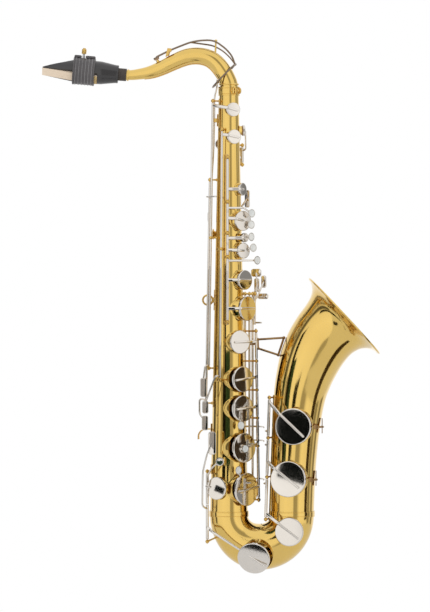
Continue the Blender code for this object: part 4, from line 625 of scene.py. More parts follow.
nickel = polished("nickel", (0.78, 0.74, 0.69), (0.66, 0.62, 0.57), 0.06, 600.0, bump=0.02)
# A darker copy of the nickel. Its lowered tones are painted shade that stands in for the dark reflections along the
# rods. No piece takes it.
shaded_nickel_rod = polished("shaded_nickel_rod", (0.66, 0.62, 0.57), (0.44, 0.40, 0.36), 0.10, 500.0, bump=0.03)
raw_brass = polished("raw_brass", (0.74, 0.49, 0.14), (0.44, 0.25, 0.07), 0.14, 500.0, coat=0.2, bump=0.03)
steel = polished("steel", (0.46, 0.46, 0.47), (0.36, 0.36, 0.37), 0.28, 900.0, bump=0.05)
pad_leather = polished(
    "pad_leather", (0.46, 0.29, 0.16), (0.30, 0.17, 0.09), 0.55, 900.0, metallic=0.0, bump=0.35
)
mother_of_pearl = polished(
    "mother_of_pearl", (0.80, 0.79, 0.75), (0.62, 0.66, 0.66), 0.18, 260.0, coat=0.6, metallic=0.0, mottle=0.9,
    bump=0.02,
)
felt = polished("felt", (0.16, 0.07, 0.04), (0.09, 0.04, 0.03), 0.95, 1500.0, metallic=0.0, bump=0.5)


class Hinge:
    """A hinge line that follows the taper of its tube."""

    def __init__(self, foot, head):
        self.foot = Vector(foot)
        self.direction = (Vector(head) - self.foot).normalized()

    def at(self, z):
        return self.foot + self.direction * ((z - self.foot.z) / self.direction.z)

    def turning(self, degrees):
        about = Matrix.Translation(self.foot)
        return about @ Matrix.Rotation(math.radians(degrees), 4, self.direction) @ about.inverted()


def hinge_tube(hinge, low, high, radius=TUBE_RADIUS):
    """A hinge tube with a turned shoulder at each end."""
    length = (hinge.at(high) - hinge.at(low)).length
    neck = radius * 0.86
    rows = (
        (0.0, 0.0), (0.0, radius), (0.0011, radius), (0.0013, neck), (0.0016, neck), (0.0018, radius),
        (length - 0.0018, radius), (length - 0.0016, neck), (length - 0.0013, neck), (length - 0.0011, radius),
        (length, radius), (length, 0.0),
    )
    return turned(hinge.at(low), hinge.direction, rows, 24, 0.0001)


def cup_back(hole, lift=0.0):
    return hole.foot + hole.normal * (hole.rise + SEAT_GAP + PAD_THICKNESS + CUP_THICKNESS + lift)


def cup_metal(hole):
    """The pressed cup: a rim down to the pad and a back with a low dome."""
    seat = hole.foot + hole.normal * (hole.rise + SEAT_GAP)
    radius = hole.cup
    back = PAD_THICKNESS + CUP_THICKNESS
    rows = [
        (PAD_THICKNESS * 0.55, 0.0), (PAD_THICKNESS * 0.55, radius - 0.0006), (PAD_THICKNESS * 0.45, radius - 0.0004),
        (PAD_THICKNESS * 0.45, radius), (back - 0.0011, radius),
    ]
    rows += [
        (back - 0.0011 + 0.0010 * math.sin(a), radius - 0.0013 + 0.0013 * math.cos(a))
        for a in (math.radians(d) for d in (12, 24, 36, 48, 60, 72, 84))
    ]
    flat = radius - 0.0016
    rows += [(back - 0.0001 + 0.0001 * (1 - (r / flat) ** 2), r) for r in (flat * k / 6 for k in (6, 5, 4, 3, 2, 1))]
    rows.append((back, 0.0))
    return turned(seat, hole.normal, rows, 64, 0)


def pad(hole):
    """A leather pad, pressed by its tone hole, with a metal resonator in its middle."""
    seat = hole.foot + hole.normal * (hole.rise + SEAT_GAP)
    radius = hole.cup - 0.0005
    rows = (
        (PAD_THICKNESS * 0.6, 0.0), (PAD_THICKNESS * 0.6, radius), (0.0010, radius), (0.0001, radius - 0.0012),
        (0.0001, hole.radius + 0.0006), (0.0004, hole.radius + 0.0003), (0.0004, hole.radius - 0.0003),
        (0.0001, hole.radius - 0.0007), (0.0001, 0.0),
    )
    return turned(seat, hole.normal, rows, 48, 0.0003)


def resonator(hole):
    radius = hole.radius * 0.55
    seat = hole.foot + hole.normal * (hole.rise + SEAT_GAP)
    rows = ((0.0002, 0.0), (0.0002, radius), (-0.0003, radius * 0.97), (-0.0006, radius * 0.6), (-0.0008, 0.0))
    return turned(seat, hole.normal, rows, 32, 0.0002)


def arm(points, across, width=ARM_WIDTH, thickness=ARM_THICKNESS, bend=0.002, tip=0.8):
    """A forged arm: oval in section, a little narrower at its tip."""
    return rod(points, width / 2, bend, 16, across, thickness / width, tip)


def cup_arm(root, hole, reach):
    """An arm from the hinge line over the cup's edge and, as a rib, across its back."""
    middle = cup_back(hole, RIB_RISE * 0.32)
    across = middle - root
    across = (across - hole.normal * across.dot(hole.normal)).normalized()
    side = hole.normal.cross(across)
    edge = middle - across * (hole.cup + 0.0004)
    end = middle + across * reach
    return [arm([root, edge, end], side, CUP_RIB_WIDTH, RIB_RISE, 0.003, tip=0.62)]


def pearl_holder(place, normal):
    rows = (
        (0.0, 0.0), (0.0, PEARL_RADIUS * 0.74), (0.0006, PEARL_RADIUS * 0.92), (PEARL_THICKNESS * 0.62, PEARL_RADIUS),
        (PEARL_THICKNESS * 0.86, PEARL_RADIUS), (PEARL_THICKNESS * 0.86, PEARL_RADIUS * 0.86),
        (PEARL_THICKNESS * 0.5, PEARL_RADIUS * 0.84), (PEARL_THICKNESS * 0.5, 0.0),
    )
    return turned(place, normal, rows, 32, 0.0002)


def pearl_disc(place, normal):
    """A finger pearl with a shallow hollow for the fingertip."""
    radius, top = PEARL_RADIUS * 0.83, PEARL_THICKNESS * 0.98
    rows = (
        (PEARL_THICKNESS * 0.52, 0.0), (PEARL_THICKNESS * 0.52, radius), (top - 0.0004, radius), (top, radius * 0.86),
        (top - 0.0002, radius * 0.6), (top - 0.0004, 0.0),
    )
    return turned(place, normal, rows, 32, 0.0003)


def key(name, parts, hinge=None, degrees=0, hole=None, pearls=(), finish=nickel, body=None):
    """One key: its metal, and its pad, resonator and pearls as pieces of their own, turned open together."""
    spot = hinge.turning(degrees) if hinge and degrees else Matrix()
    for shape in parts:
        shape.transform(spot)
    body = body or name
    piece(name + "_metal", parts, finish, body=body, replaced=[name], crease=40)
    if hole:
        soft, disc = pad(hole), resonator(hole)
        soft.transform(spot)
        disc.transform(spot)
        piece(name + "_pad", [soft], pad_leather, body=body)
        piece(name + "_resonator", [disc], nickel, body=body)
    if pearls:
        discs = [pearl_disc(place, normal) for place, normal in pearls]
        for disc in discs:
            disc.transform(spot)
        piece(name + "_pearl", discs, mother_of_pearl, body=body)


def stalk(root, place, normal):
    """The arm under a finger pearl."""
    across = normal.cross(place - root)
    return arm([root, place + normal * 0.0008], across if across.length > PEARL_THICKNESS else UP)


def stack_key(name, hinge, low, high, hole, arm_z, degrees, pearl_at=None, reach=0.0015, stalk_z=None):
    parts = [hinge_tube(hinge, low, high), cup_metal(hole), *cup_arm(hinge.at(arm_z), hole, reach)]
    pearls = []
    if pearl_at:
        place, middle = Vector(pearl_at), cup_back(hole, -0.0004)
        across = place - middle
        across -= hole.normal * across.dot(hole.normal)
        root = middle + across.normalized() * min(across.length, hole.cup - 0.0030)
        parts.append(stalk(hinge.at(stalk_z) if stalk_z else root, place, hole.normal))
        parts.append(pearl_holder(place, hole.normal))
        pearls.append((place, hole.normal))
    key(name, parts, hinge, degrees, hole, pearls)


# Posts and ribs: turned brass posts with a ball at the hinge line, silver-soldered to flat brass ribs.
# Each pivot screw shows its ends at the ball's sides.
RIB_WIDTH, RIB_THICKNESS, RIB_GAP = 0.0060, 0.0012, 0.0003


def slab(middle, along, across, length, width, thickness, edge=0.0004):
    """A flat bar with softened edges."""
    x, y = Vector(along).normalized(), Vector(across)
    y = (y - x * y.dot(x)).normalized()
    spot = Matrix((x * length, y * width, x.cross(y) * thickness)).transposed().to_4x4()
    spot.translation = Vector(middle)
    bm = bmesh.new()
    bmesh.ops.create_cube(bm, size=1.0, matrix=spot)
    bmesh.ops.bevel(
        bm, geom=bm.edges[:], offset=min(edge, thickness * 0.45), segments=3, profile=0.5, affect="EDGES",
        material=-1,
    )
    bmesh.ops.recalc_face_normals(bm, faces=bm.faces)
    return bm


def post(foot, tip, hinge_way=UP):
    """A turned post with its collar, waist and ball, and the pivot screw through the ball."""
    foot, tip = Vector(foot), Vector(tip)
    length = (tip - foot).length
    ball = POST_BALL_RADIUS
    rows = [(0.0, 0.0), (0.0, POST_RADIUS * 1.25), (0.0006, POST_RADIUS * 1.25), (0.0012, POST_RADIUS * 0.85)]
    rows += [(max(length * 0.5, 0.0014), POST_RADIUS * 0.72), (max(length - ball * 1.25, 0.0016), POST_RADIUS * 0.9)]
    for degrees in (-62, -45, -30, -15, 0, 15, 30, 45, 60, 75, 90):
        a = math.radians(degrees)
        rows.append((length + ball * math.sin(a), max(ball * math.cos(a), 0.0)))
    screw = turned(
        tip - Vector(hinge_way) * (ball + 0.0002), hinge_way,
        ((0.0, 0.0), (0.0, 0.0011), (2 * ball + 0.0004, 0.0011), (2 * ball + 0.0004, 0.0)), 20, 0.0002,
    )
    return [turned(foot, tip - foot, rows, 28, 0), screw]


def strip(degrees, low, high, width=RIB_WIDTH):
    """A flat rib along the body tube, just clear of it."""
    inner = [round_body(degrees, body_radius(z) + RIB_GAP + RIB_THICKNESS / 2, z) for z in (low, high)]
    run = inner[1] - inner[0]
    return slab((inner[0] + inner[1]) / 2, run, outwards(degrees + 90), run.length, width, RIB_THICKNESS)


def strap(z, start, end, width=0.0050):
    """A curved strap round the tube from a rib to a post beside it."""
    steps = max(3, round(abs(end - start) / 6))
    reach = body_radius(z - width / 2) / math.cos(math.radians(8)) + RIB_GAP + RIB_THICKNESS / 2
    line = [round_body(start + (end - start) * i / steps, reach, z) for i in range(steps + 1)]
    return drawn(line, width / 2, 12, UP, RIB_THICKNESS / width)


def ribbed(name, degrees, low, high, posts, width=RIB_WIDTH, extras=()):
    parts = [strip(degrees, low, high, width), *extras]
    for foot_angle, tip in posts:
        if abs(foot_angle - degrees) > 5:
            parts.append(strap(tip.z, degrees, foot_angle + math.copysign(5, foot_angle - degrees)))
        foot = round_body(foot_angle, body_radius(tip.z) + RIB_GAP + RIB_THICKNESS * 0.9, tip.z)
        parts += post(foot, tip)
    piece(name + "_metal", parts, raw_brass, replaced=[name], crease=45)


# Upper stack: the left hand's main keys on one steel rod. They stand open and close towards the body.
UPPER_HINGE = Hinge(beside_body(-0.0022, -0.0290, -0.0350), beside_body(-0.0022, -0.0228, 0.2100))
LOWER_HINGE = Hinge(beside_body(0.0434, 0.0035, -0.2940), beside_body(0.0392, 0.0020, -0.0430))
UPPER_POST_HEIGHTS = (-0.0322, 0.0625, 0.0970, 0.1425, 0.2075)
LOWER_POST_HEIGHTS = (-0.2910, -0.2127, -0.1719, -0.1311, -0.0889, -0.0452)


def stack_parts(name, hinge, heights, degrees):
    ribbed(
        name + "_rib", degrees, heights[0] - 0.004, heights[-1] + 0.004, [(degrees, hinge.at(z)) for z in heights]
    )
    low, high = hinge.at(heights[0] - 0.0035), hinge.at(heights[-1] + 0.0035)
    length = (high - low).length
    rows = (
        (0.0, 0.0), (0.0, ROD_RADIUS), (0.0010, ROD_RADIUS), (length - 0.0010, ROD_RADIUS), (length, ROD_RADIUS),
        (length, 0.0),
    )
    piece(
        name + "_rod_metal", [turned(low, high - low, rows, 20, 0.0002)], steel, replaced=[name + "_rod"],
    )


stack_parts("upper_stack", UPPER_HINGE, UPPER_POST_HEIGHTS, -16)
low_post, g_post, b_post, side_post, top_post = UPPER_POST_HEIGHTS
G_JOINT, A_SPLIT, FRONT_F_FOOT = g_post - 0.0450, 0.0815, 0.1290
for name, low, high, hole, arm_z, degrees, pearl_at, reach, stalk_z in (
    ("low_g_key", low_post + POST_ROOM, G_JOINT - 0.0005, LOW_G_HOLE, -0.0124, OPEN_LOW_G, None, 0.014, None),
    ("g_key", G_JOINT, g_post - POST_ROOM, G_HOLE, 0.0290, OPEN_G, (0.0370, -0.0060, 0.0576), 0.010, 0.0570),
    ("a_key", g_post + POST_ROOM, A_SPLIT - 0.0005, A_HOLE, 0.0725, OPEN_UPPER, (0.0315, -0.0085, 0.0758), 0.0, None),
    ("bis_key", A_SPLIT, b_post - POST_ROOM, BIS_HOLE, 0.0895, OPEN_UPPER, (0.0290, -0.0110, 0.0915), 0.0, None),
    ("b_key", b_post + POST_ROOM, FRONT_F_FOOT - 0.0005, B_HOLE, 0.1190, OPEN_UPPER, (0.0290, -0.0105, 0.1092), 0.0,
     None),
    ("side_b_flat_key", side_post + POST_ROOM, top_post - POST_ROOM, SIDE_B_FLAT_HOLE, 0.1610, 0, None, 0.0, None),
):
    pearl_at = beside_body(*pearl_at) if pearl_at else None
    stack_key(name, UPPER_HINGE, low, high, hole, arm_z, degrees, pearl_at, reach, stalk_z)
place, root, knee = beside_body(0.0300, -0.0120, 0.1257), UPPER_HINGE.at(0.1335), beside_body(0.0215, -0.0235, 0.1335)
key(
    "front_f_key",
    [
        hinge_tube(UPPER_HINGE, FRONT_F_FOOT, side_post - POST_ROOM),
        arm([root, knee, place + B_HOLE.normal * 0.0008], UP, 0.0034, 0.0020, 0.003), pearl_holder(place, B_HOLE.normal),
    ],
    UPPER_HINGE, OPEN_UPPER, pearls=[(place, B_HOLE.normal)],
)


# Lower stack: the right hand's main keys beside the bell, with the G sharp key above them.
stack_parts("lower_stack", LOWER_HINGE, LOWER_POST_HEIGHTS, 113)
d_post, e_post, f_post, f_sharp_post, g_sharp_post, top_post = LOWER_POST_HEIGHTS
for name, low_end, high_end, hole, arm_z, degrees, pearl_at, reach in (
    ("g_sharp_key", g_sharp_post, top_post, G_SHARP_HOLE, -0.0600, 0, None, 0.011),
    ("f_sharp_key", f_sharp_post, g_sharp_post, F_SHARP_HOLE, -0.1110, OPEN_LOWER, None, 0.015),
    ("f_key", f_post, f_sharp_post, F_HOLE, -0.1540, OPEN_LOWER, round_body(19, 0.0340, -0.1815), 0.013),
    ("e_key", e_post, f_post, E_HOLE, -0.2062, OPEN_LOWER, round_body(31, 0.0346, -0.2155), 0.010),
    ("d_key", d_post, e_post, D_HOLE, -0.2700, OPEN_LOWER, round_body(9, 0.0395, -0.2462), 0.018),
):
    stack_key(name, LOWER_HINGE, low_end + POST_ROOM, high_end - POST_ROOM, hole, arm_z, degrees, pearl_at, reach)


# Side keys: three long rods on the player's right that carry the right hand's side touches to the cups of
# high E, side C and side B flat. Their touches are cast plates, rounded by hand and by use.
SIDE_E_HINGE = Hinge(beside_body(-0.0294, -0.0120, -0.0990), beside_body(-0.0236, -0.0105, 0.2900))
SIDE_C_HINGE = Hinge(beside_body(-0.0131, -0.0285, -0.1160), beside_body(-0.0102, -0.0215, 0.2480))
SIDE_B_FLAT_HINGE = Hinge(beside_body(-0.0335, -0.0050, -0.1500), beside_body(-0.0277, -0.0030, 0.1750))
TOUCH_THICKNESS = 0.0022
SIDE_FACE = outwards(-20)


def touch_plate(middle, normal, along, length, width, thickness=TOUCH_THICKNESS, edge=0.0010):
    """A finger touch: a rounded plate with soft edges and rounded corners."""
    x, z = Vector(along).normalized(), Vector(normal)
    z = (z - x * z.dot(x)).normalized()
    spot = Matrix((x, z.cross(x), z)).transposed().to_4x4()
    spot.translation = Vector(middle)
    bm = bmesh.new()
    bmesh.ops.create_cube(bm, size=1.0, matrix=Matrix.Diagonal((length, width, thickness, 1)))
    upright = [e for e in bm.edges if abs((e.verts[0].co - e.verts[1].co).normalized().z) > 0.9]
    bmesh.ops.bevel(
        bm, geom=upright, offset=min(length, width) * 0.32, segments=7, profile=0.5, affect="EDGES", material=-1
    )
    rims = [e for e in bm.edges if abs(e.verts[0].co.z - e.verts[1].co.z) < 1e-7 and len(e.link_faces) == 2
            and any(abs(f.normal.z) > 0.9 for f in e.link_faces)]
    bmesh.ops.bevel(
        bm, geom=rims, offset=min(edge, thickness * 0.48), segments=4, profile=0.5, affect="EDGES", material=-1
    )
    bmesh.ops.recalc_face_normals(bm, faces=bm.faces)
    bm.transform(spot)
    return bm


ribbed(
    "side_key_rib", -66, -0.1560, 0.2930,
    [
        (-66, SIDE_E_HINGE.at(-0.0990)), (-66, SIDE_E_HINGE.at(0.0905)), (-66, SIDE_E_HINGE.at(0.2895)),
        (-35, SIDE_C_HINGE.at(-0.1160)), (-35, SIDE_C_HINGE.at(0.0740)), (-35, SIDE_C_HINGE.at(0.2480)),
        (-82, SIDE_B_FLAT_HINGE.at(-0.1500)), (-82, SIDE_B_FLAT_HINGE.at(0.1750)),
    ],
    0.0042,
)
low, high = -0.0990 + POST_ROOM, 0.2895 - POST_ROOM
touch = beside_body(-0.0372, -0.0165, -0.1270)
key(
    "side_e_key",
    [
        hinge_tube(SIDE_E_HINGE, low, high, LONG_ROD_RADIUS), cup_metal(HIGH_E_HOLE),
        *cup_arm(SIDE_E_HINGE.at(0.2830), HIGH_E_HOLE, 0.007),
        arm([SIDE_E_HINGE.at(low + 0.0010), beside_body(-0.0350, -0.0165, -0.0960), touch + UP * 0.0120],
            SIDE_FACE, 0.0032, 0.0030, 0.006),
        touch_plate(touch, SIDE_FACE, UP, 0.0280, 0.0095),
    ],
    hole=HIGH_E_HOLE,
)
low, high = -0.1160 + POST_ROOM, 0.2480 - POST_ROOM
touch = beside_body(-0.0345, -0.0190, -0.1555)
key(
    "side_c_key",
    [
        hinge_tube(SIDE_C_HINGE, low, high, LONG_ROD_RADIUS), cup_metal(SIDE_C_HOLE),
        *cup_arm(SIDE_C_HINGE.at(0.2405), SIDE_C_HOLE, 0.007),
        arm([SIDE_C_HINGE.at(low + 0.0030), beside_body(-0.0200, -0.0345, -0.1100), touch + UP * 0.0060],
            SIDE_FACE, 0.0032, 0.0030, 0.006),
        touch_plate(touch, SIDE_FACE, UP, 0.0185, 0.0095),
    ],
    hole=SIDE_C_HOLE,
)
low, high = -0.1500 + POST_ROOM, 0.1750 - POST_ROOM
touch = beside_body(-0.0350, -0.0215, -0.1785)
key(
    "side_b_flat_lever",
    [
        hinge_tube(SIDE_B_FLAT_HINGE, low, high, LONG_ROD_RADIUS),
        arm(
            [SIDE_B_FLAT_HINGE.at(low + 0.0010), beside_body(-0.0430, -0.0085, -0.1430),
             beside_body(-0.0430, -0.0110, -0.1655), beside_body(-0.0385, -0.0200, -0.1710)],
            SIDE_FACE, 0.0032, 0.0030, 0.005,
        ),
        touch_plate(touch, SIDE_FACE, UP, 0.0215, 0.0095),
        arm(
            [SIDE_B_FLAT_HINGE.at(0.1500), beside_body(-0.0325, -0.0090, 0.1500),
             beside_body(-0.0325, -0.0180, 0.1500), round_body(-30, 0.0360, 0.1500)],
            UP, 0.0028, 0.0026, 0.004,
        ),
    ],
)


# Palm keys: three short keys on the far side for the left palm, closed at rest.
PALM_REACH, PALM_TOUCH_REACH = 0.0248, 0.0330
PALM_KEYS = (
    ("palm_f_key", PALM_F_HOLE, 128, 0.2010, 0.2230, 152, 0.2110),
    ("palm_e_flat_key", PALM_E_FLAT_HOLE, 184, 0.1830, 0.2050, 160, 0.1750),
    ("palm_d_key", PALM_D_HOLE, 154, 0.1200, 0.1440, 126, 0.1480),
)
posts = []
for name, hole, degrees, low, high, touch_angle, touch_z in PALM_KEYS:
    hinge = Hinge(round_body(degrees, PALM_REACH, low), round_body(degrees, PALM_REACH, high))
    posts += [(degrees, hinge.at(low - POST_ROOM)), (degrees, hinge.at(high + POST_ROOM))]
    towards = math.copysign(1, hole.normal.cross(outwards(degrees)).z)
    arm_z = high - 0.0050
    elbow = round_body(degrees - towards * 18, PALM_REACH + 0.0015, arm_z + 0.0020)
    face = outwards(touch_angle)
    touch = round_body(touch_angle, PALM_TOUCH_REACH, touch_z)
    key(
        name,
        [
            hinge_tube(hinge, low, high), cup_metal(hole),
            arm([hinge.at(arm_z), elbow, cup_back(hole, 0.0008)], UP, 0.0030, 0.0026, 0.005),
            arm([hinge.at(low + 0.0050), touch - face * 0.0004], UP, 0.0034, 0.0028),
            touch_plate(touch, face, UP, 0.0260, 0.0110),
        ],
        hole=hole,
    )
ribbed("palm_key_rib", 145, 0.1120, 0.2330, posts, 0.0042)


# Low E flat and low C: one hinge line at the player's right. Low E flat stands closed and low C open.
LOW_HINGE = Hinge(beside_body(-0.0316, -0.0120, -0.3510), beside_body(-0.0316, -0.0120, -0.2490))
LOW_FOOT_Z, LOW_HEAD_Z, LOW_KEYS_MEET_Z = -0.3510, -0.2490, -0.2972
ribbed("low_key_rib", -72, -0.2530, -0.2390, [(-72, LOW_HINGE.at(LOW_HEAD_Z))])
foot_tip = LOW_HINGE.at(LOW_FOOT_Z)
piece(
    "bow_post_metal", post(foot_tip + Vector((0.0135, 0.0040, 0.0060)), foot_tip), raw_brass
)
button = beside_body(-0.0138, -0.0370, -0.2338)
key(
    "low_e_flat_key",
    [
        hinge_tube(LOW_HINGE, LOW_KEYS_MEET_Z + 0.0005, LOW_HEAD_Z - POST_ROOM), cup_metal(LOW_E_FLAT_HOLE),
        *cup_arm(LOW_HINGE.at(-0.2700), LOW_E_FLAT_HOLE, -0.009),
        arm([LOW_HINGE.at(-0.2560), beside_body(-0.0240, -0.0310, -0.2420), button], (0, -1, 0), 0.0030, 0.0028,
            0.005),
        turned(button, (0, -1, 0), ((0.0, 0.0), (0.0, 0.0062), (0.0016, 0.0062), (0.0020, 0.0050), (0.0014, 0.0046),
                                    (0.0010, 0.0)), 36, 0.0003),
    ],
    hole=LOW_E_FLAT_HOLE,
)
middle = cup_back(LOW_C_HOLE, 0.0006)
knee, touch = beside_body(-0.0225, -0.0370, -0.3335), beside_body(-0.0195, -0.0400, -0.2069)
near = knee + (middle - knee) * 0.52
across = LOW_C_HOLE.normal.cross(middle - near)
key(
    "low_c_key",
    [
        hinge_tube(LOW_HINGE, LOW_FOOT_Z + POST_ROOM, LOW_KEYS_MEET_Z), cup_metal(LOW_C_HOLE),
        arm([LOW_HINGE.at(-0.3300), knee, near, middle + (middle - near) * 0.6], across, 0.0046, 0.0030, 0.010,
            tip=0.6),
        arm(
            [LOW_HINGE.at(-0.3035), beside_body(-0.0375, -0.0215, -0.2995), beside_body(-0.0345, -0.0330, -0.2480),
             beside_body(-0.0262, -0.0400, -0.2200), touch],
            (0, -1, 0), 0.0030, 0.0028, 0.008,
        ),
        touch_plate(touch, outwards(-18), UP, 0.0330, 0.0126),
    ],
    LOW_HINGE, OPEN_LOW_C, LOW_C_HOLE,
)


# Bell keys: the three largest cups, on one hinge line between the body and the bell, with felt-tipped wire guards.
BELL_HINGE = Hinge(beside_body(0.0530, -0.0310, -0.3176), beside_body(0.0583, -0.0310, -0.1413))
BELL_POST_HEIGHTS = (-0.3176, -0.2564, -0.1996, -0.1413)
BELL_RIB_TOP, BELL_RIB_BOTTOM = beside_body(0.0652, -0.0123, -0.1380), beside_body(0.0589, -0.0110, -0.3210)
run = BELL_RIB_TOP - BELL_RIB_BOTTOM
across = Vector((-0.95, -0.31, 0.0)).cross(UP)
parts = [slab((BELL_RIB_TOP + BELL_RIB_BOTTOM) / 2, run, across, run.length, RIB_WIDTH, RIB_THICKNESS)]
for z in BELL_POST_HEIGHTS:
    parts += post(BELL_RIB_BOTTOM + run * ((z - BELL_RIB_BOTTOM.z) / run.z), BELL_HINGE.at(z))
piece("bell_key_rib_metal", parts, raw_brass, replaced=["bell_key_rib"], crease=45)
bottom, lower, upper, top = BELL_POST_HEIGHTS
for name, low_end, high_end, hole, arm_z, foot_z, degrees, reach in (
    ("low_b_flat_key", upper, top, LOW_B_FLAT_HOLE, -0.1480, -0.1900, OPEN_BELL, 0.022),
    ("low_b_key", lower, upper, LOW_B_HOLE, -0.2340, -0.2100, OPEN_BELL, 0.021),
    ("low_c_sharp_key", bottom, lower, LOW_C_SHARP_HOLE, -0.3090, -0.2660, 0, 0.017),
):
    key(
        name,
        [
            hinge_tube(BELL_HINGE, low_end + POST_ROOM, high_end - POST_ROOM), cup_metal(hole),
            *cup_arm(BELL_HINGE.at(arm_z), hole, reach),
            arm([BELL_HINGE.at(foot_z), beside_body(0.0505, -0.0215, foot_z)], UP, 0.0036, 0.0028),
        ],
        BELL_HINGE, degrees, hole,
    )
# A much darker copy of the brass. Its lowered tones are painted shade on the wire guards and the bell brace.
shaded_brass = polished("shaded_brass", (0.34, 0.20, 0.08), (0.14, 0.08, 0.03), 0.20, 500.0, coat=0.2, bump=0.04)
for name, hole, surface_x, edge_x in (
    ("low_b_flat_guard", LOW_B_FLAT_HOLE, 0.1354, 0.1245), ("low_b_guard", LOW_B_HOLE, 0.1265, 0.1180),
):
    z = hole.foot.z
    foot, corner, tip = beside_body(surface_x, -0.0100, z), beside_body(surface_x, -0.0610, z), beside_body(
        edge_x, -0.0610, z
    )
    piece(
        name + "_metal",
        [
            rod([foot, corner, tip], 0.0014, 0.008, 16),
            slab(foot, UP, (0, 1, 0), 0.0220, 0.0060, 0.0012),
            turned(tip, (0, 1, 0), ((-0.0016, 0.0), (-0.0016, 0.0036), (0.0008, 0.0036), (0.0008, 0.0)), 28, 0.0003),
        ],
        shaded_brass, replaced=[name],
    )
    piece(
        name + "_felt",
        [turned(tip, (0, 1, 0), ((0.0007, 0.0), (0.0007, 0.0031), (0.0016, 0.0031), (0.0016, 0.0)), 24, 0.0003)],
        felt,
    )


# Table keys: the left little finger's touches on the far side, each on a long lever to its bell key.
TABLE_REACH, TABLE_TOP_Z = 0.0385, 0.0060
TABLE_TOUCH_Y = TABLE_REACH - 0.0085
TABLE_FACE = Vector((0.35, 0.94, 0.0)).normalized()
BELL_FOOT = beside_body(0.0505, -0.0215, 0.0)
posts = []
for name, degrees, low, touch_x, touch_z, width, length, elbow_rise in (
    ("low_c_sharp_lever", 116, -0.2640, 0.0510, 0.0270, 0.0080, 0.0180, 0.0065),
    ("low_b_lever", 129, -0.2080, 0.0408, 0.0220, 0.0080, 0.0200, 0.0052),
    ("low_b_flat_lever", 142, -0.1880, 0.0500, 0.0056, 0.0160, 0.0085, 0.0078),
):
    hinge = Hinge(round_body(degrees, TABLE_REACH, low), round_body(degrees, TABLE_REACH, TABLE_TOP_Z))
    foot_angle = max(degrees, 127)
    posts += [(foot_angle, hinge.at(TABLE_TOP_Z + POST_ROOM)), (foot_angle, hinge.at(low - POST_ROOM))]
    touch = beside_body(touch_x, TABLE_TOUCH_Y, touch_z)
    link_z = low + 0.0030
    elbow = round_body(degrees, TABLE_REACH + elbow_rise, TABLE_TOP_Z - 0.0040)
    around = beside_body(TABLE_REACH + 0.0045, TABLE_REACH - 0.0125, link_z)
    bend, end = Vector((BELL_FOOT.x, 0.0100, link_z)), Vector((BELL_FOOT.x, BELL_FOOT.y + 0.0065, link_z))
    key(
        name,
        [
            hinge_tube(hinge, low, TABLE_TOP_Z, LONG_ROD_RADIUS),
            arm([hinge.at(TABLE_TOP_Z - 0.0040), elbow, touch], TABLE_FACE, 0.0030, 0.0030, 0.005),
            touch_plate(touch, TABLE_FACE, UP, length, width),
            arm([hinge.at(link_z), around, bend, end], UP, 0.0030, 0.0026, 0.006),
        ],
    )
hinge = Hinge(round_body(103, TABLE_REACH, -0.0360), round_body(103, TABLE_REACH, TABLE_TOP_Z))
posts.append((103, hinge.at(TABLE_TOP_Z + POST_ROOM)))
touch = beside_body(0.0400, TABLE_TOUCH_Y, 0.0400)
key(
    "g_sharp_lever",
    [
        hinge_tube(hinge, -0.0360, TABLE_TOP_Z, LONG_ROD_RADIUS),
        arm([hinge.at(TABLE_TOP_Z - 0.0120), beside_body(0.0410, 0.0170, 0.0220), touch], TABLE_FACE, 0.0030, 0.0030,
            0.006),
        touch_plate(touch, TABLE_FACE, UP, 0.0120, 0.0160),
        arm([hinge.at(-0.0330), beside_body(0.0480, 0.0040, -0.0330)], UP, 0.0028, 0.0026),
    ],
)
ribbed("table_key_rib", 134, -0.2710, 0.0140, posts, 0.0042)


# Neck: a tapered brass tube bent on a mandrel, with a stiffening strip along its underside, a collar at its corked
# end, the octave vent on top and the tenon that slides into the receiver.
NECK_SECTIONS = (
    (-0.1486, 0.3278, 0.0072), (-0.1300, 0.3292, 0.0080), (-0.1144, 0.3322, 0.0091), (-0.0991, 0.3380, 0.0101),
    (-0.0838, 0.3453, 0.0108), (-0.0690, 0.3520, 0.0115), (-0.0561, 0.3556, 0.0118), (-0.0423, 0.3559, 0.0119),
    (-0.0299, 0.3529, 0.0121), (-0.0210, 0.3475, 0.0123), (-0.0135, 0.3400, 0.0124), (-0.0073, 0.3310, 0.0125),
    (-0.0026, 0.3215, 0.0127), (0.0, 0.3130, 0.0130),
)
TENON_RADIUS, TENON_BOTTOM_Z = 0.0130, 0.2850
CORK_RADIUS, CORK_LENGTH, CORK_WALL = 0.0091, 0.0340, 0.0016
MOUTHPIECE_TILT = math.radians(4.7)
NECK_END = beside_body(-0.1486, 0, 0.3278)
AXIS = Vector((-math.cos(MOUTHPIECE_TILT), 0, math.sin(MOUTHPIECE_TILT)))
LIFT = Vector((math.sin(MOUTHPIECE_TILT), 0, math.cos(MOUTHPIECE_TILT)))
SIDE = Vector((0, 1, 0))
VENT_PLACE = beside_body(-0.0991, 0, 0.3380)
VENT_LEAN = Vector((-0.42, 0, 0.907)).normalized()
VENT_RISE, VENT_RADIUS = 0.0130, 0.0024

sections = [(NECK_END.x - BODY_X + AXIS.x * 0.038, NECK_END.z + AXIS.z * 0.038, 0.0064), *NECK_SECTIONS,
            (0.0, 0.2990, TENON_RADIUS), (0.0, TENON_BOTTOM_Z, TENON_RADIUS)]
rows = smooth_rows(sections, 6)
line = [beside_body(x, 0, z) for x, z, _ in rows]
skin = drawn(line, [r for _, _, r in rows], 96, SIDE, ends=False)
mesh = bpy.data.meshes.new("neck_skin")
skin.to_mesh(mesh)
skin.free()
mesh.shade_smooth()
mesh.materials.append(lacquered_brass)
neck_skin = bpy.data.objects.new("neck_skin", mesh)
scene.collection.objects.link(neck_skin)
wall = neck_skin.modifiers.new("wall", "SOLIDIFY")
wall.thickness, wall.offset = 0.0008, -1
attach(neck_skin, "neck")
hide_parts("neck_tube")

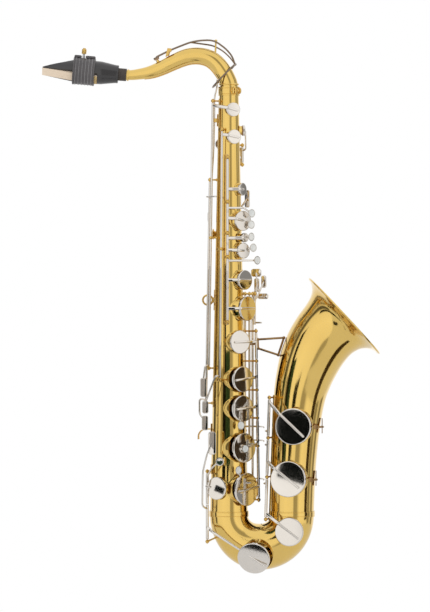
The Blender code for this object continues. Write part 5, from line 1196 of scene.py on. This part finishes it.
collar = turned(
    NECK_END, -AXIS,
    ((0.0, 0.0068), (0.0, 0.0082), (0.0008, 0.0086), (0.0022, 0.0086), (0.0030, 0.0081), (0.0030, 0.0070)), 64, 0.0002,
    closed=True,
)
foot = VENT_PLACE + VENT_LEAN * (VENT_RISE - 0.0045)
pip = turned(
    foot, VENT_LEAN,
    ((0.0, 0.0008), (0.0, VENT_RADIUS * 1.3), (0.0012, VENT_RADIUS), (0.0043, VENT_RADIUS * 0.92),
     (0.0045, VENT_RADIUS * 0.8), (0.0045, 0.0008)), 32, 0.0001, closed=True,
)
guide_foot, guide_tip = beside_body(-0.0200, 0, 0.3560), beside_body(-0.0190, 0, 0.3795)
length = (guide_tip - guide_foot).length
guide = turned(
    guide_foot, guide_tip - guide_foot,
    ((0.0, 0.0), (0.0, 0.0020), (0.0012, 0.0014), (length * 0.6, 0.0012), (length - 0.0034, 0.0013),
     (length - 0.0028, 0.0020), (length - 0.0006, 0.0020), (length, 0.0012), (length, 0.0)), 28, 0.0003,
)
ring_z = 0.3125
tenon_ring = turned(
    Vector((BODY_X, 0, ring_z)), UP,
    ((0.0, 0.0128), (0.0, 0.0142), (0.0008, 0.0147), (0.0020, 0.0147), (0.0028, 0.0140), (0.0028, 0.0128)), 64, 0.0002,
    closed=True,
)
piece("neck_fittings", [collar, pip, guide, tenon_ring], lacquered_brass, body="neck")
under = []
for i, (x, z, radius) in enumerate(rows):
    if not 14 <= i <= 74:
        continue
    ahead, behind = line[min(i + 1, len(line) - 1)], line[max(i - 1, 0)]
    way = (ahead - behind).normalized()
    down = way.cross(SIDE)
    down = down if down.z < 0 else -down
    under.append(line[i] + down * (radius + 0.0002))
piece(
    "neck_strip", [drawn(under, [0.0022 * min(1, 0.35 + 0.65 * min(i, len(under) - 1 - i) / 6)
                                 for i in range(len(under))], 14, SIDE, 0.45)],
    raw_brass, body="neck",
)

# Neck cork: sheet cork glued round the neck's end, sanded to a taper and greased dark.
cork = polished("cork", (0.075, 0.055, 0.040), (0.030, 0.022, 0.018), 0.62, 420.0, metallic=0.0, mottle=0.9, bump=0.6)
start = NECK_END + AXIS * 0.0008
length = CORK_LENGTH - 0.0008
inner = CORK_RADIUS - CORK_WALL
piece(
    "neck_cork_sleeve",
    [turned(start, AXIS, ((0.0, inner), (0.0, CORK_RADIUS - 0.0002), (0.0006, CORK_RADIUS),
                          (length - 0.0030, CORK_RADIUS), (length, CORK_RADIUS - 0.0006), (length, inner)), 64, 0.0003,
            closed=True)],
    cork, body="neck", replaced=["neck_cork"],
)

# Neck octave key: a brass saddle on the neck, a small pad over the vent, a lever over the bend and a loop
# round the tenon.
SADDLE_HINGE, SADDLE_HALF_GAP = beside_body(-0.0860, 0, 0.3640), 0.0034
along = VENT_LEAN.cross(SIDE)
base = beside_body(-0.0846, 0, 0.3450) + VENT_LEAN * 0.0121
parts = [slab(base, SIDE, along, 2 * (SADDLE_HALF_GAP + 0.0018), 0.0060, 0.0014)]
for side in (-1, 1):
    ear = SIDE * side * (SADDLE_HALF_GAP + 0.0010)
    top = SADDLE_HINGE + ear + VENT_LEAN * 0.0026
    parts.append(slab((base + ear + top) / 2, top - base - ear, along, (top - base - ear).length, 0.0050, 0.0016))
    parts.append(turned(SADDLE_HINGE + ear, SIDE * side, ((-0.0009, 0.0), (-0.0009, 0.0026), (0.0009, 0.0026),
                                                           (0.0009, 0.0)), 28, 0.0003))
piece("octave_saddle_metal", parts, raw_brass, body="neck", replaced=["octave_saddle"])

half = SADDLE_HALF_GAP - 0.0003
seat = VENT_PLACE + VENT_LEAN * (VENT_RISE + SEAT_GAP)
LOOP_RIGHT, LOOP_LEFT, LOOP_HALF_WIDTH = Vector((0.0088, 0, 0.3432)), Vector((-0.0236, 0, 0.3100)), 0.0205
across_body = Vector((BODY_X, 0, 0))
middle = (LOOP_RIGHT + LOOP_LEFT) / 2 + across_body
half_loop = (LOOP_RIGHT - LOOP_LEFT) / 2
loop = [
    middle + half_loop * math.cos(a) + SIDE * LOOP_HALF_WIDTH * math.sin(a)
    for a in (math.radians(3 + 354 * i / 72) for i in range(73))
]
lever = [
    seat + VENT_LEAN * 0.0040, SADDLE_HINGE, beside_body(-0.0568, 0, 0.3755), beside_body(-0.0423, -0.0020, 0.3781),
    beside_body(-0.0219, -0.0040, 0.3785), beside_body(-0.0044, -0.0040, 0.3657), beside_body(0.0044, -0.0020, 0.3555),
    across_body + LOOP_RIGHT,
]
inner = [
    beside_body(-0.0568, 0, 0.3755), beside_body(-0.0233, 0.0040, 0.3712), beside_body(-0.0090, 0.0040, 0.3635),
    beside_body(0.0020, 0.0020, 0.3530), across_body + LOOP_RIGHT,
]
# Nickel toned much darker than the other keys' nickel, for the neck octave key.
dark_nickel = polished("dark_nickel", (0.26, 0.20, 0.15), (0.10, 0.07, 0.05), 0.16, 500.0, bump=0.04)
key(
    "neck_octave_key",
    [
        turned(SADDLE_HINGE - SIDE * half, SIDE, ((0.0, 0.0), (0.0, 0.0022), (2 * half, 0.0022), (2 * half, 0.0)), 24,
               0.0002),
        turned(seat, VENT_LEAN, ((0.0016, 0.0), (0.0016, 0.0041), (0.0034, 0.0045), (0.0040, 0.0040), (0.0043, 0.0)),
               36, 0.0004),
        arm(lever, SIDE, 0.0034, 0.0028, 0.010, tip=0.9), arm(inner, SIDE, 0.0028, 0.0024, 0.010),
        drawn(loop, 0.0013, 16, SIDE),
        turned(across_body + LOOP_RIGHT, UP, [(0.0022 * math.sin(a), 0.0022 * math.cos(a)) for a in
                                              (math.radians(d) for d in range(-90, 91, 15))], 24, 0),
    ],
    finish=dark_nickel,
)
piece(
    "neck_octave_pad",
    [turned(seat, VENT_LEAN, ((0.0001, 0.0), (0.0001, 0.0036), (0.0016, 0.0040), (0.0018, 0.0)), 32, 0.0003)],
    pad_leather, body="neck_octave_key",
)


# Mouthpiece: turned from black hard rubber and polished, its beak and table filed flat and its window cut for the
# reed.
MOUTHPIECE_SHANK = NECK_END + AXIS * 0.0125
MOUTHPIECE_LENGTH, MOUTHPIECE_BORE_RADIUS, REED_GAP = 0.1105, 0.0094, 0.0003
MOUTHPIECE_ROLL = math.radians(38)
MOUTH_UP = LIFT * math.cos(MOUTHPIECE_ROLL) + SIDE * math.sin(MOUTHPIECE_ROLL)
MOUTH_SIDE = MOUTH_UP.cross(AXIS)
TABLE_HEEL, TABLE_DROP, TIP_UP = 0.0300, 0.0120, -0.0058
ebonite = polished(
    "ebonite", (0.030, 0.028, 0.029), (0.020, 0.019, 0.021), 0.20, 900.0, coat=0.25, metallic=0.0, bump=0.03
)


def at_mouth(along, up, side=0.0):
    """A point on the mouthpiece: from its shank to its tip, away from its reed, and sideways."""
    return MOUTHPIECE_SHANK + AXIS * along + MOUTH_UP * up + MOUTH_SIDE * side


def table_up(along):
    """The table's height, from its heel to the tip."""
    return -TABLE_DROP + (along - TABLE_HEEL) * (TIP_UP + TABLE_DROP) / (MOUTHPIECE_LENGTH - TABLE_HEEL)


def wedge(outline, half_width):
    """A flat-sided cutter through an outline of (along, up) points."""
    bm = bmesh.new()
    corners = [bm.verts.new(at_mouth(a, u, -half_width)) for a, u in outline]
    face = bm.faces.new(corners)
    made = bmesh.ops.extrude_face_region(bm, geom=[face])["geom"]
    bmesh.ops.translate(
        bm, vec=MOUTH_SIDE * 2 * half_width, verts=[part for part in made if isinstance(part, bmesh.types.BMVert)]
    )
    bmesh.ops.recalc_face_normals(bm, faces=bm.faces)
    return bm


def carved(name, shape, cutters, material, body, replaced, round_off=0.0003, crease=28):
    """A piece with its cutters taken out of it."""
    obj = piece(name, [shape], material, body=body, replaced=replaced)
    for i, cutter in enumerate(cutters):
        mesh = bpy.data.meshes.new("cutter")
        cutter.to_mesh(mesh)
        cutter.free()
        tool = bpy.data.objects.new("cutter", mesh)
        scene.collection.objects.link(tool)
        cut = obj.modifiers.new(f"cut_{i}", "BOOLEAN")
        cut.operation, cut.solver, cut.object = "DIFFERENCE", "EXACT", tool
    bpy.context.view_layer.update()
    done = bpy.data.meshes.new_from_object(obj.evaluated_get(bpy.context.evaluated_depsgraph_get()))
    for cut in obj.modifiers:
        bpy.data.objects.remove(cut.object)
    obj.modifiers.clear()
    obj.data = done
    done.materials.clear()
    done.materials.append(material)
    done.shade_smooth()
    done.set_sharp_from_angle(angle=math.radians(crease))
    return obj


profile = smooth_rows(
    ((0.0, 0.0127), (0.0030, 0.0131), (0.0080, 0.0138), (0.0200, 0.0158), (0.0290, 0.0168), (0.0600, 0.0166),
     (0.0700, 0.0158), (0.0900, 0.0130), (MOUTHPIECE_LENGTH, 0.0102)), 5
)
outer = turned(MOUTHPIECE_SHANK, AXIS, [(0.0, 0.0)] + profile + [(MOUTHPIECE_LENGTH, 0.0)], 96, 0)
bore = turned(
    at_mouth(-0.002, 0), AXIS,
    ((0.0, 0.0), (0.0, MOUTHPIECE_BORE_RADIUS), (0.0420, MOUTHPIECE_BORE_RADIUS), (0.0480, 0.0070), (0.0700, 0.0045),
     (0.0700, 0.0)), 48, 0,
)
tip = MOUTHPIECE_LENGTH + 0.004
beak = smooth_rows(((0.0540, 0.0190), (0.0640, 0.0102), (0.0760, 0.0044), (0.0950, -0.0009), (tip, -0.0060)), 5)
beak = [(0.0540, 0.0300), *beak, (tip, 0.0300)]
table = [(TABLE_HEEL, -TABLE_DROP), (TABLE_HEEL, -0.0300), (tip, -0.0300), (tip, table_up(tip))]
window = [(0.0640, -0.0150), (0.0640, -0.0020), (MOUTHPIECE_LENGTH - 0.012, -0.0048),
          (MOUTHPIECE_LENGTH - 0.012, -0.0150)]
carved(
    "mouthpiece_body", outer, [bore, wedge(beak, 0.03), wedge(table, 0.03), wedge(window, 0.0054)], ebonite,
    "mouthpiece", ["mouthpiece"],
)
piece(
    "mouthpiece_band",
    [turned(at_mouth(0.0006, 0), AXIS, ((0.0, 0.0126), (0.0, 0.0130), (0.0009, 0.0133), (0.0018, 0.0132),
                                         (0.0018, 0.0127)), 72, 0.0001, closed=True)],
    ebonite, body="mouthpiece",
)

# Reed: a slip of cane, bark at its heel and shaved thin to its tip, pressed on the table by the ligature.
cane = polished("cane", (0.88, 0.73, 0.57), (0.80, 0.63, 0.45), 0.55, 500.0, metallic=0.0, mottle=0.6, bump=0.10)
bark = polished("bark", (0.66, 0.46, 0.17), (0.48, 0.31, 0.10), 0.30, 500.0, coat=0.3, metallic=0.0, mottle=0.8)
REED_HEEL, REED_CUT, REED_TIP = TABLE_HEEL + 0.0005, 0.0680, MOUTHPIECE_LENGTH + 0.0005
outline = []
for i in range(33):
    along = REED_HEEL + (REED_TIP - REED_HEEL) * i / 32
    top = table_up(along) - REED_GAP
    shaved = max(0.0, (along - REED_CUT) / (REED_TIP - REED_CUT))
    outline.append((along, top, top - 0.0029 + 0.0025 * shaved ** 0.8))
blade = wedge([(a, t) for a, t, _ in outline] + [(a, b) for a, _, b in reversed(outline)], 0.0078)
piece("reed_blade", [blade], cane, body="mouthpiece", replaced=["reed"])
skin = [(a, b) for a, _, b in outline if a < REED_CUT]
rind = wedge([(a, b + 0.0004) for a, b in skin] + [(a, b - 0.0002) for a, b in reversed(skin)], 0.0079)
piece("reed_bark", [rind], bark, body="mouthpiece")


# Ligature: a dark woven band with raised cords that wraps the mouthpiece and the reed. Two lugs on top are drawn
# together round one brass screw.
LIGATURE_START, LIGATURE_END, LIGATURE_RADIUS, LIGATURE_WALL = 0.0345, 0.0665, 0.0178, 0.0024
SCREW_ALONG, SCREW_NOTCH = 0.0525, 0.0056
leather = polished(
    "leather", (0.085, 0.078, 0.080), (0.050, 0.046, 0.048), 0.42, 700.0, coat=0.15, metallic=0.0, mottle=0.8, bump=0.3
)
cord = polished("cord", (0.20, 0.19, 0.195), (0.11, 0.105, 0.11), 0.35, 900.0, metallic=0.0, mottle=0.8, bump=0.3)


def over_mouth(along, up):
    return MOUTHPIECE_SHANK + AXIS * along + LIFT * up


start, length = over_mouth(LIGATURE_START, 0), LIGATURE_END - LIGATURE_START
outer = LIGATURE_RADIUS + LIGATURE_WALL
rows = [(0.0, LIGATURE_RADIUS), (0.0, outer - 0.0009), (0.0004, outer - 0.0002), (0.0022, outer - 0.0002),
        (0.0026, outer - 0.0008), (length - 0.0026, outer - 0.0008), (length - 0.0022, outer - 0.0002),
        (length - 0.0004, outer - 0.0002), (length, outer - 0.0009), (length, LIGATURE_RADIUS)]
parts = [turned(start, AXIS, rows, 96, 0.0002, closed=True)]
for low, high in (
    (LIGATURE_START + 0.0005, SCREW_ALONG - SCREW_NOTCH / 2), (SCREW_ALONG + SCREW_NOTCH / 2, LIGATURE_END - 0.0005)
):
    bottom, top = outer - 0.0014, outer + 0.0030
    parts.append(slab(over_mouth((low + high) / 2, (bottom + top) / 2), AXIS, SIDE, high - low, 0.0085, top - bottom,
                      0.0019))
piece("ligature_band", parts, leather, body="mouthpiece", replaced=["ligature"], crease=50)
cords = []
for i in range(6):
    along = LIGATURE_START + 0.0042 + (length - 0.0084) * i / 5
    ring_rows = [(0.0007 * math.sin(a), outer - 0.0008 + 0.0007 * math.cos(a)) for a in
                 (math.pi * k / 5 for k in range(10))]
    cords.append(turned(over_mouth(along, 0), AXIS, ring_rows, 96, 0, closed=True))
piece("ligature_cords", cords, cord, body="mouthpiece")
stem = over_mouth(SCREW_ALONG, LIGATURE_RADIUS + 0.0010)
piece(
    "ligature_screw_stem",
    [turned(stem, LIFT, ((0.0, 0.0), (0.0, 0.0017), (0.0066, 0.0017), (0.0066, 0.0)), 28, 0.0002)], steel,
    body="ligature_screw",
)
rows = [(0.0064, 0.0), (0.0064, 0.0022), (0.0068, 0.0034)]
rows += [(0.0072 + 0.0058 * k / 10, 0.0036 if k % 2 else 0.0033) for k in range(11)]
rows += [(0.0134, 0.0034), (0.0138, 0.0022), (0.0148, 0.0021), (0.0152, 0.0016), (0.0152, 0.0)]
piece(
    "ligature_screw_metal", [turned(stem, LIFT, rows, 40, 0)], raw_brass, body="ligature_screw",
    replaced=["ligature_screw"],
)


# Neck receiver: a split collar round the top of the body, drawn together on the tenon by a brass thumb screw
# through its two ears.
RECEIVER_INNER, RECEIVER_OUTER, RECEIVER_LOW, RECEIVER_HIGH = 0.0144, 0.0157, 0.2975, 0.3105
EAR_ANGLE, EAR_REACH = 22, 0.0220
rise = RECEIVER_HIGH - RECEIVER_LOW
rows = [(0.0, RECEIVER_INNER), (0.0, RECEIVER_OUTER), (0.0016, RECEIVER_OUTER), (0.0018, RECEIVER_OUTER - 0.0004),
        (0.0024, RECEIVER_OUTER - 0.0004), (0.0026, RECEIVER_OUTER), (rise - 0.0028, RECEIVER_OUTER),
        (rise - 0.0026, RECEIVER_OUTER - 0.0004), (rise - 0.0020, RECEIVER_OUTER - 0.0004),
        (rise - 0.0018, RECEIVER_OUTER), (rise, RECEIVER_OUTER), (rise, RECEIVER_INNER)]
band = turned(Vector((BODY_X, 0, RECEIVER_LOW)), UP, rows, 96, 0.00015, closed=True)
middle_z = (RECEIVER_LOW + RECEIVER_HIGH) / 2
out, side = outwards(EAR_ANGLE), outwards(EAR_ANGLE + 90)
slit_end = round_body(EAR_ANGLE, EAR_REACH + 0.002, middle_z)
slit = slab((round_body(EAR_ANGLE, 0.0100, middle_z) + slit_end) / 2, out, UP, EAR_REACH + 0.002 - 0.0100, 0.0200,
            0.0012, 0.0001)
carved(
    "neck_receiver_band", band, [slit], lacquered_brass, "body", ["neck_receiver"]
)
ears = []
for hand in (-1, 1):
    inner, tip = RECEIVER_OUTER - 0.0006, EAR_REACH
    centre = round_body(EAR_ANGLE, (inner + tip) / 2, middle_z) + side * hand * 0.0019
    ears.append(slab(centre, out, UP, tip - inner, 0.0080, 0.0026, 0.0008))
piece("neck_receiver_ears", ears, lacquered_brass)
screw_place = round_body(EAR_ANGLE, 0.0190, middle_z)
rows = [(-0.0050, 0.0), (-0.0050, 0.0014), (0.0040, 0.0014), (0.0042, 0.0028), (0.0070, 0.0028), (0.0072, 0.0044)]
rows += [(0.0074 + 0.0022 * k / 6, 0.0046 if k % 2 else 0.0044) for k in range(7)]
rows += [(0.0100, 0.0040), (0.0100, 0.0)]
piece(
    "receiver_screw_metal", [turned(screw_place, side, rows, 40, 0)], raw_brass, body="receiver_screw",
    replaced=["receiver_screw"],
)


# Strap ring: a brass wire ring soldered to a flat plate behind the body. Its centre is the part's origin.
STRAP_MAJOR, STRAP_WIRE = 0.0070, 0.0014
wire_rows = [
    (STRAP_WIRE * math.sin(a), STRAP_MAJOR + STRAP_WIRE * math.cos(a)) for a in (math.pi * i / 8 for i in range(16))
]
plate_x = BODY_X - body_radius(0) - RIB_GAP - RIB_THICKNESS * 0.6
neck_of_ring = slab(((STRAP_MAJOR * 0.98 + plate_x) / 2, 0, 0), (1, 0, 0), UP, plate_x - STRAP_MAJOR * 0.98, 0.0080,
                    0.0026, 0.0008)
piece(
    "strap_ring_metal",
    [turned((0, 0, 0), (0, 1, 0), wire_rows, 48, 0, closed=True), strip(-90, -0.0150, 0.0150, 0.0080), neck_of_ring],
    raw_brass, replaced=["strap_ring"],
)


# Thumb hook and thumb rest: the brass hook that hangs on the right thumb, and the round rest for the left.
z = -0.1960
start = round_body(-100, body_radius(z) + RIB_GAP + RIB_THICKNESS * 0.5, z + 0.0080)
out = outwards(-100)
hook = [start - UP * 0.0, start + out * 0.0080, start + out * 0.0150 - UP * 0.0020, start + out * 0.0190 - UP * 0.0080,
        start + out * 0.0190 - UP * 0.0150]
hook_line = eased(hook, 0.006)
parts = [strip(-100, z - 0.0160, z + 0.0160, 0.0110), drawn(hook_line, 0.0055, 20, outwards(-10), 0.22)]
for lift in (-0.0090, 0.0110):
    spot = round_body(-100, body_radius(z + lift) + RIB_GAP + RIB_THICKNESS, z + lift)
    parts.append(turned(spot, out, ((-0.0004, 0.0), (-0.0004, 0.0022), (0.0003, 0.0022), (0.0007, 0.0012),
                                    (0.0008, 0.0)), 24, 0.0002))
piece("thumb_hook_metal", parts, raw_brass, replaced=["thumb_hook"])
foot = round_body(-96, body_radius(0.0960) + RIB_GAP, 0.0960)
piece(
    "thumb_rest_metal",
    [turned(foot, outwards(-96), ((0.0, 0.0), (0.0, 0.0040), (0.0026, 0.0048), (0.0034, 0.0080), (0.0044, 0.0080),
                                  (0.0052, 0.0068), (0.0050, 0.0)), 48, 0.0004)],
    raw_brass, replaced=["thumb_rest"],
)


# Thumb octave key: the left thumb's lever, its long arm up the back of the body and the pin inside the neck's loop.
OCTAVE_PIVOT = beside_body(-0.0212, 0.0070, 0.2620)
path = [
    beside_body(-0.0290, 0.0070, 0.1260), beside_body(-0.0265, 0.0070, 0.1500), beside_body(-0.0225, 0.0070, 0.2200),
    OCTAVE_PIVOT, beside_body(-0.0212, 0.0070, 0.2960), beside_body(-0.0172, 0.0050, 0.3110),
    beside_body(-0.0176, 0.0030, 0.3215),
]
key(
    "thumb_octave_key",
    [
        turned(OCTAVE_PIVOT - SIDE * 0.0032, SIDE, ((0.0, 0.0), (0.0, 0.0022), (0.0064, 0.0022), (0.0064, 0.0)), 24,
               0.0002),
        arm(path, SIDE, 0.0032, 0.0028, 0.006),
        touch_plate(beside_body(-0.0292, 0.0070, 0.1210), outwards(-100), UP, 0.0150, 0.0140),
    ],
)
parts = [strip(-118, 0.2530, 0.2710, 0.0140)]
plate_radius = body_radius(OCTAVE_PIVOT.z) + RIB_GAP + RIB_THICKNESS * 0.6
for side in (-1, 1):
    y = OCTAVE_PIVOT.y + side * 0.0044
    foot = Vector((BODY_X - math.sqrt(plate_radius ** 2 - y ** 2), y, OCTAVE_PIVOT.z))
    tip = OCTAVE_PIVOT + Vector((-0.0030, side * 0.0044, 0))
    parts.append(slab((foot + tip) / 2, tip - foot, UP, (tip - foot).length, 0.0056, 0.0016))
piece("octave_bracket_metal", parts, raw_brass, replaced=["octave_bracket"])


# Bell brace: a frame of brass wire between the body and the bell, with a small ball at each corner.
corners = [
    beside_body(0.0420, 0.0085, -0.0575), beside_body(0.0800, 0.0020, -0.0550),
    beside_body(0.0718, 0.0020, -0.0800), beside_body(0.0425, 0.0085, -0.0705),
]
foot = round_body(97, body_radius(-0.0640) + RIB_GAP + 0.0005, -0.0640)
parts = [rod([a, b], 0.0016, sides=20) for a, b in zip(corners, corners[1:] + corners[:1])]
parts += [rod([foot, (corners[0] + corners[3]) / 2], 0.0018, sides=20), strip(97, -0.0740, -0.0540, 0.0050)]
dome = [(0.0024 * math.sin(a), 0.0024 * math.cos(a)) for a in (math.radians(d) for d in range(-90, 91, 15))]
parts += [turned(corner, SIDE, dome, 28, 0) for corner in corners]
# The brace takes the darkened brass, whose dark tone is painted shade.
piece("bell_brace_metal", parts, shaded_brass, replaced=["bell_brace"])
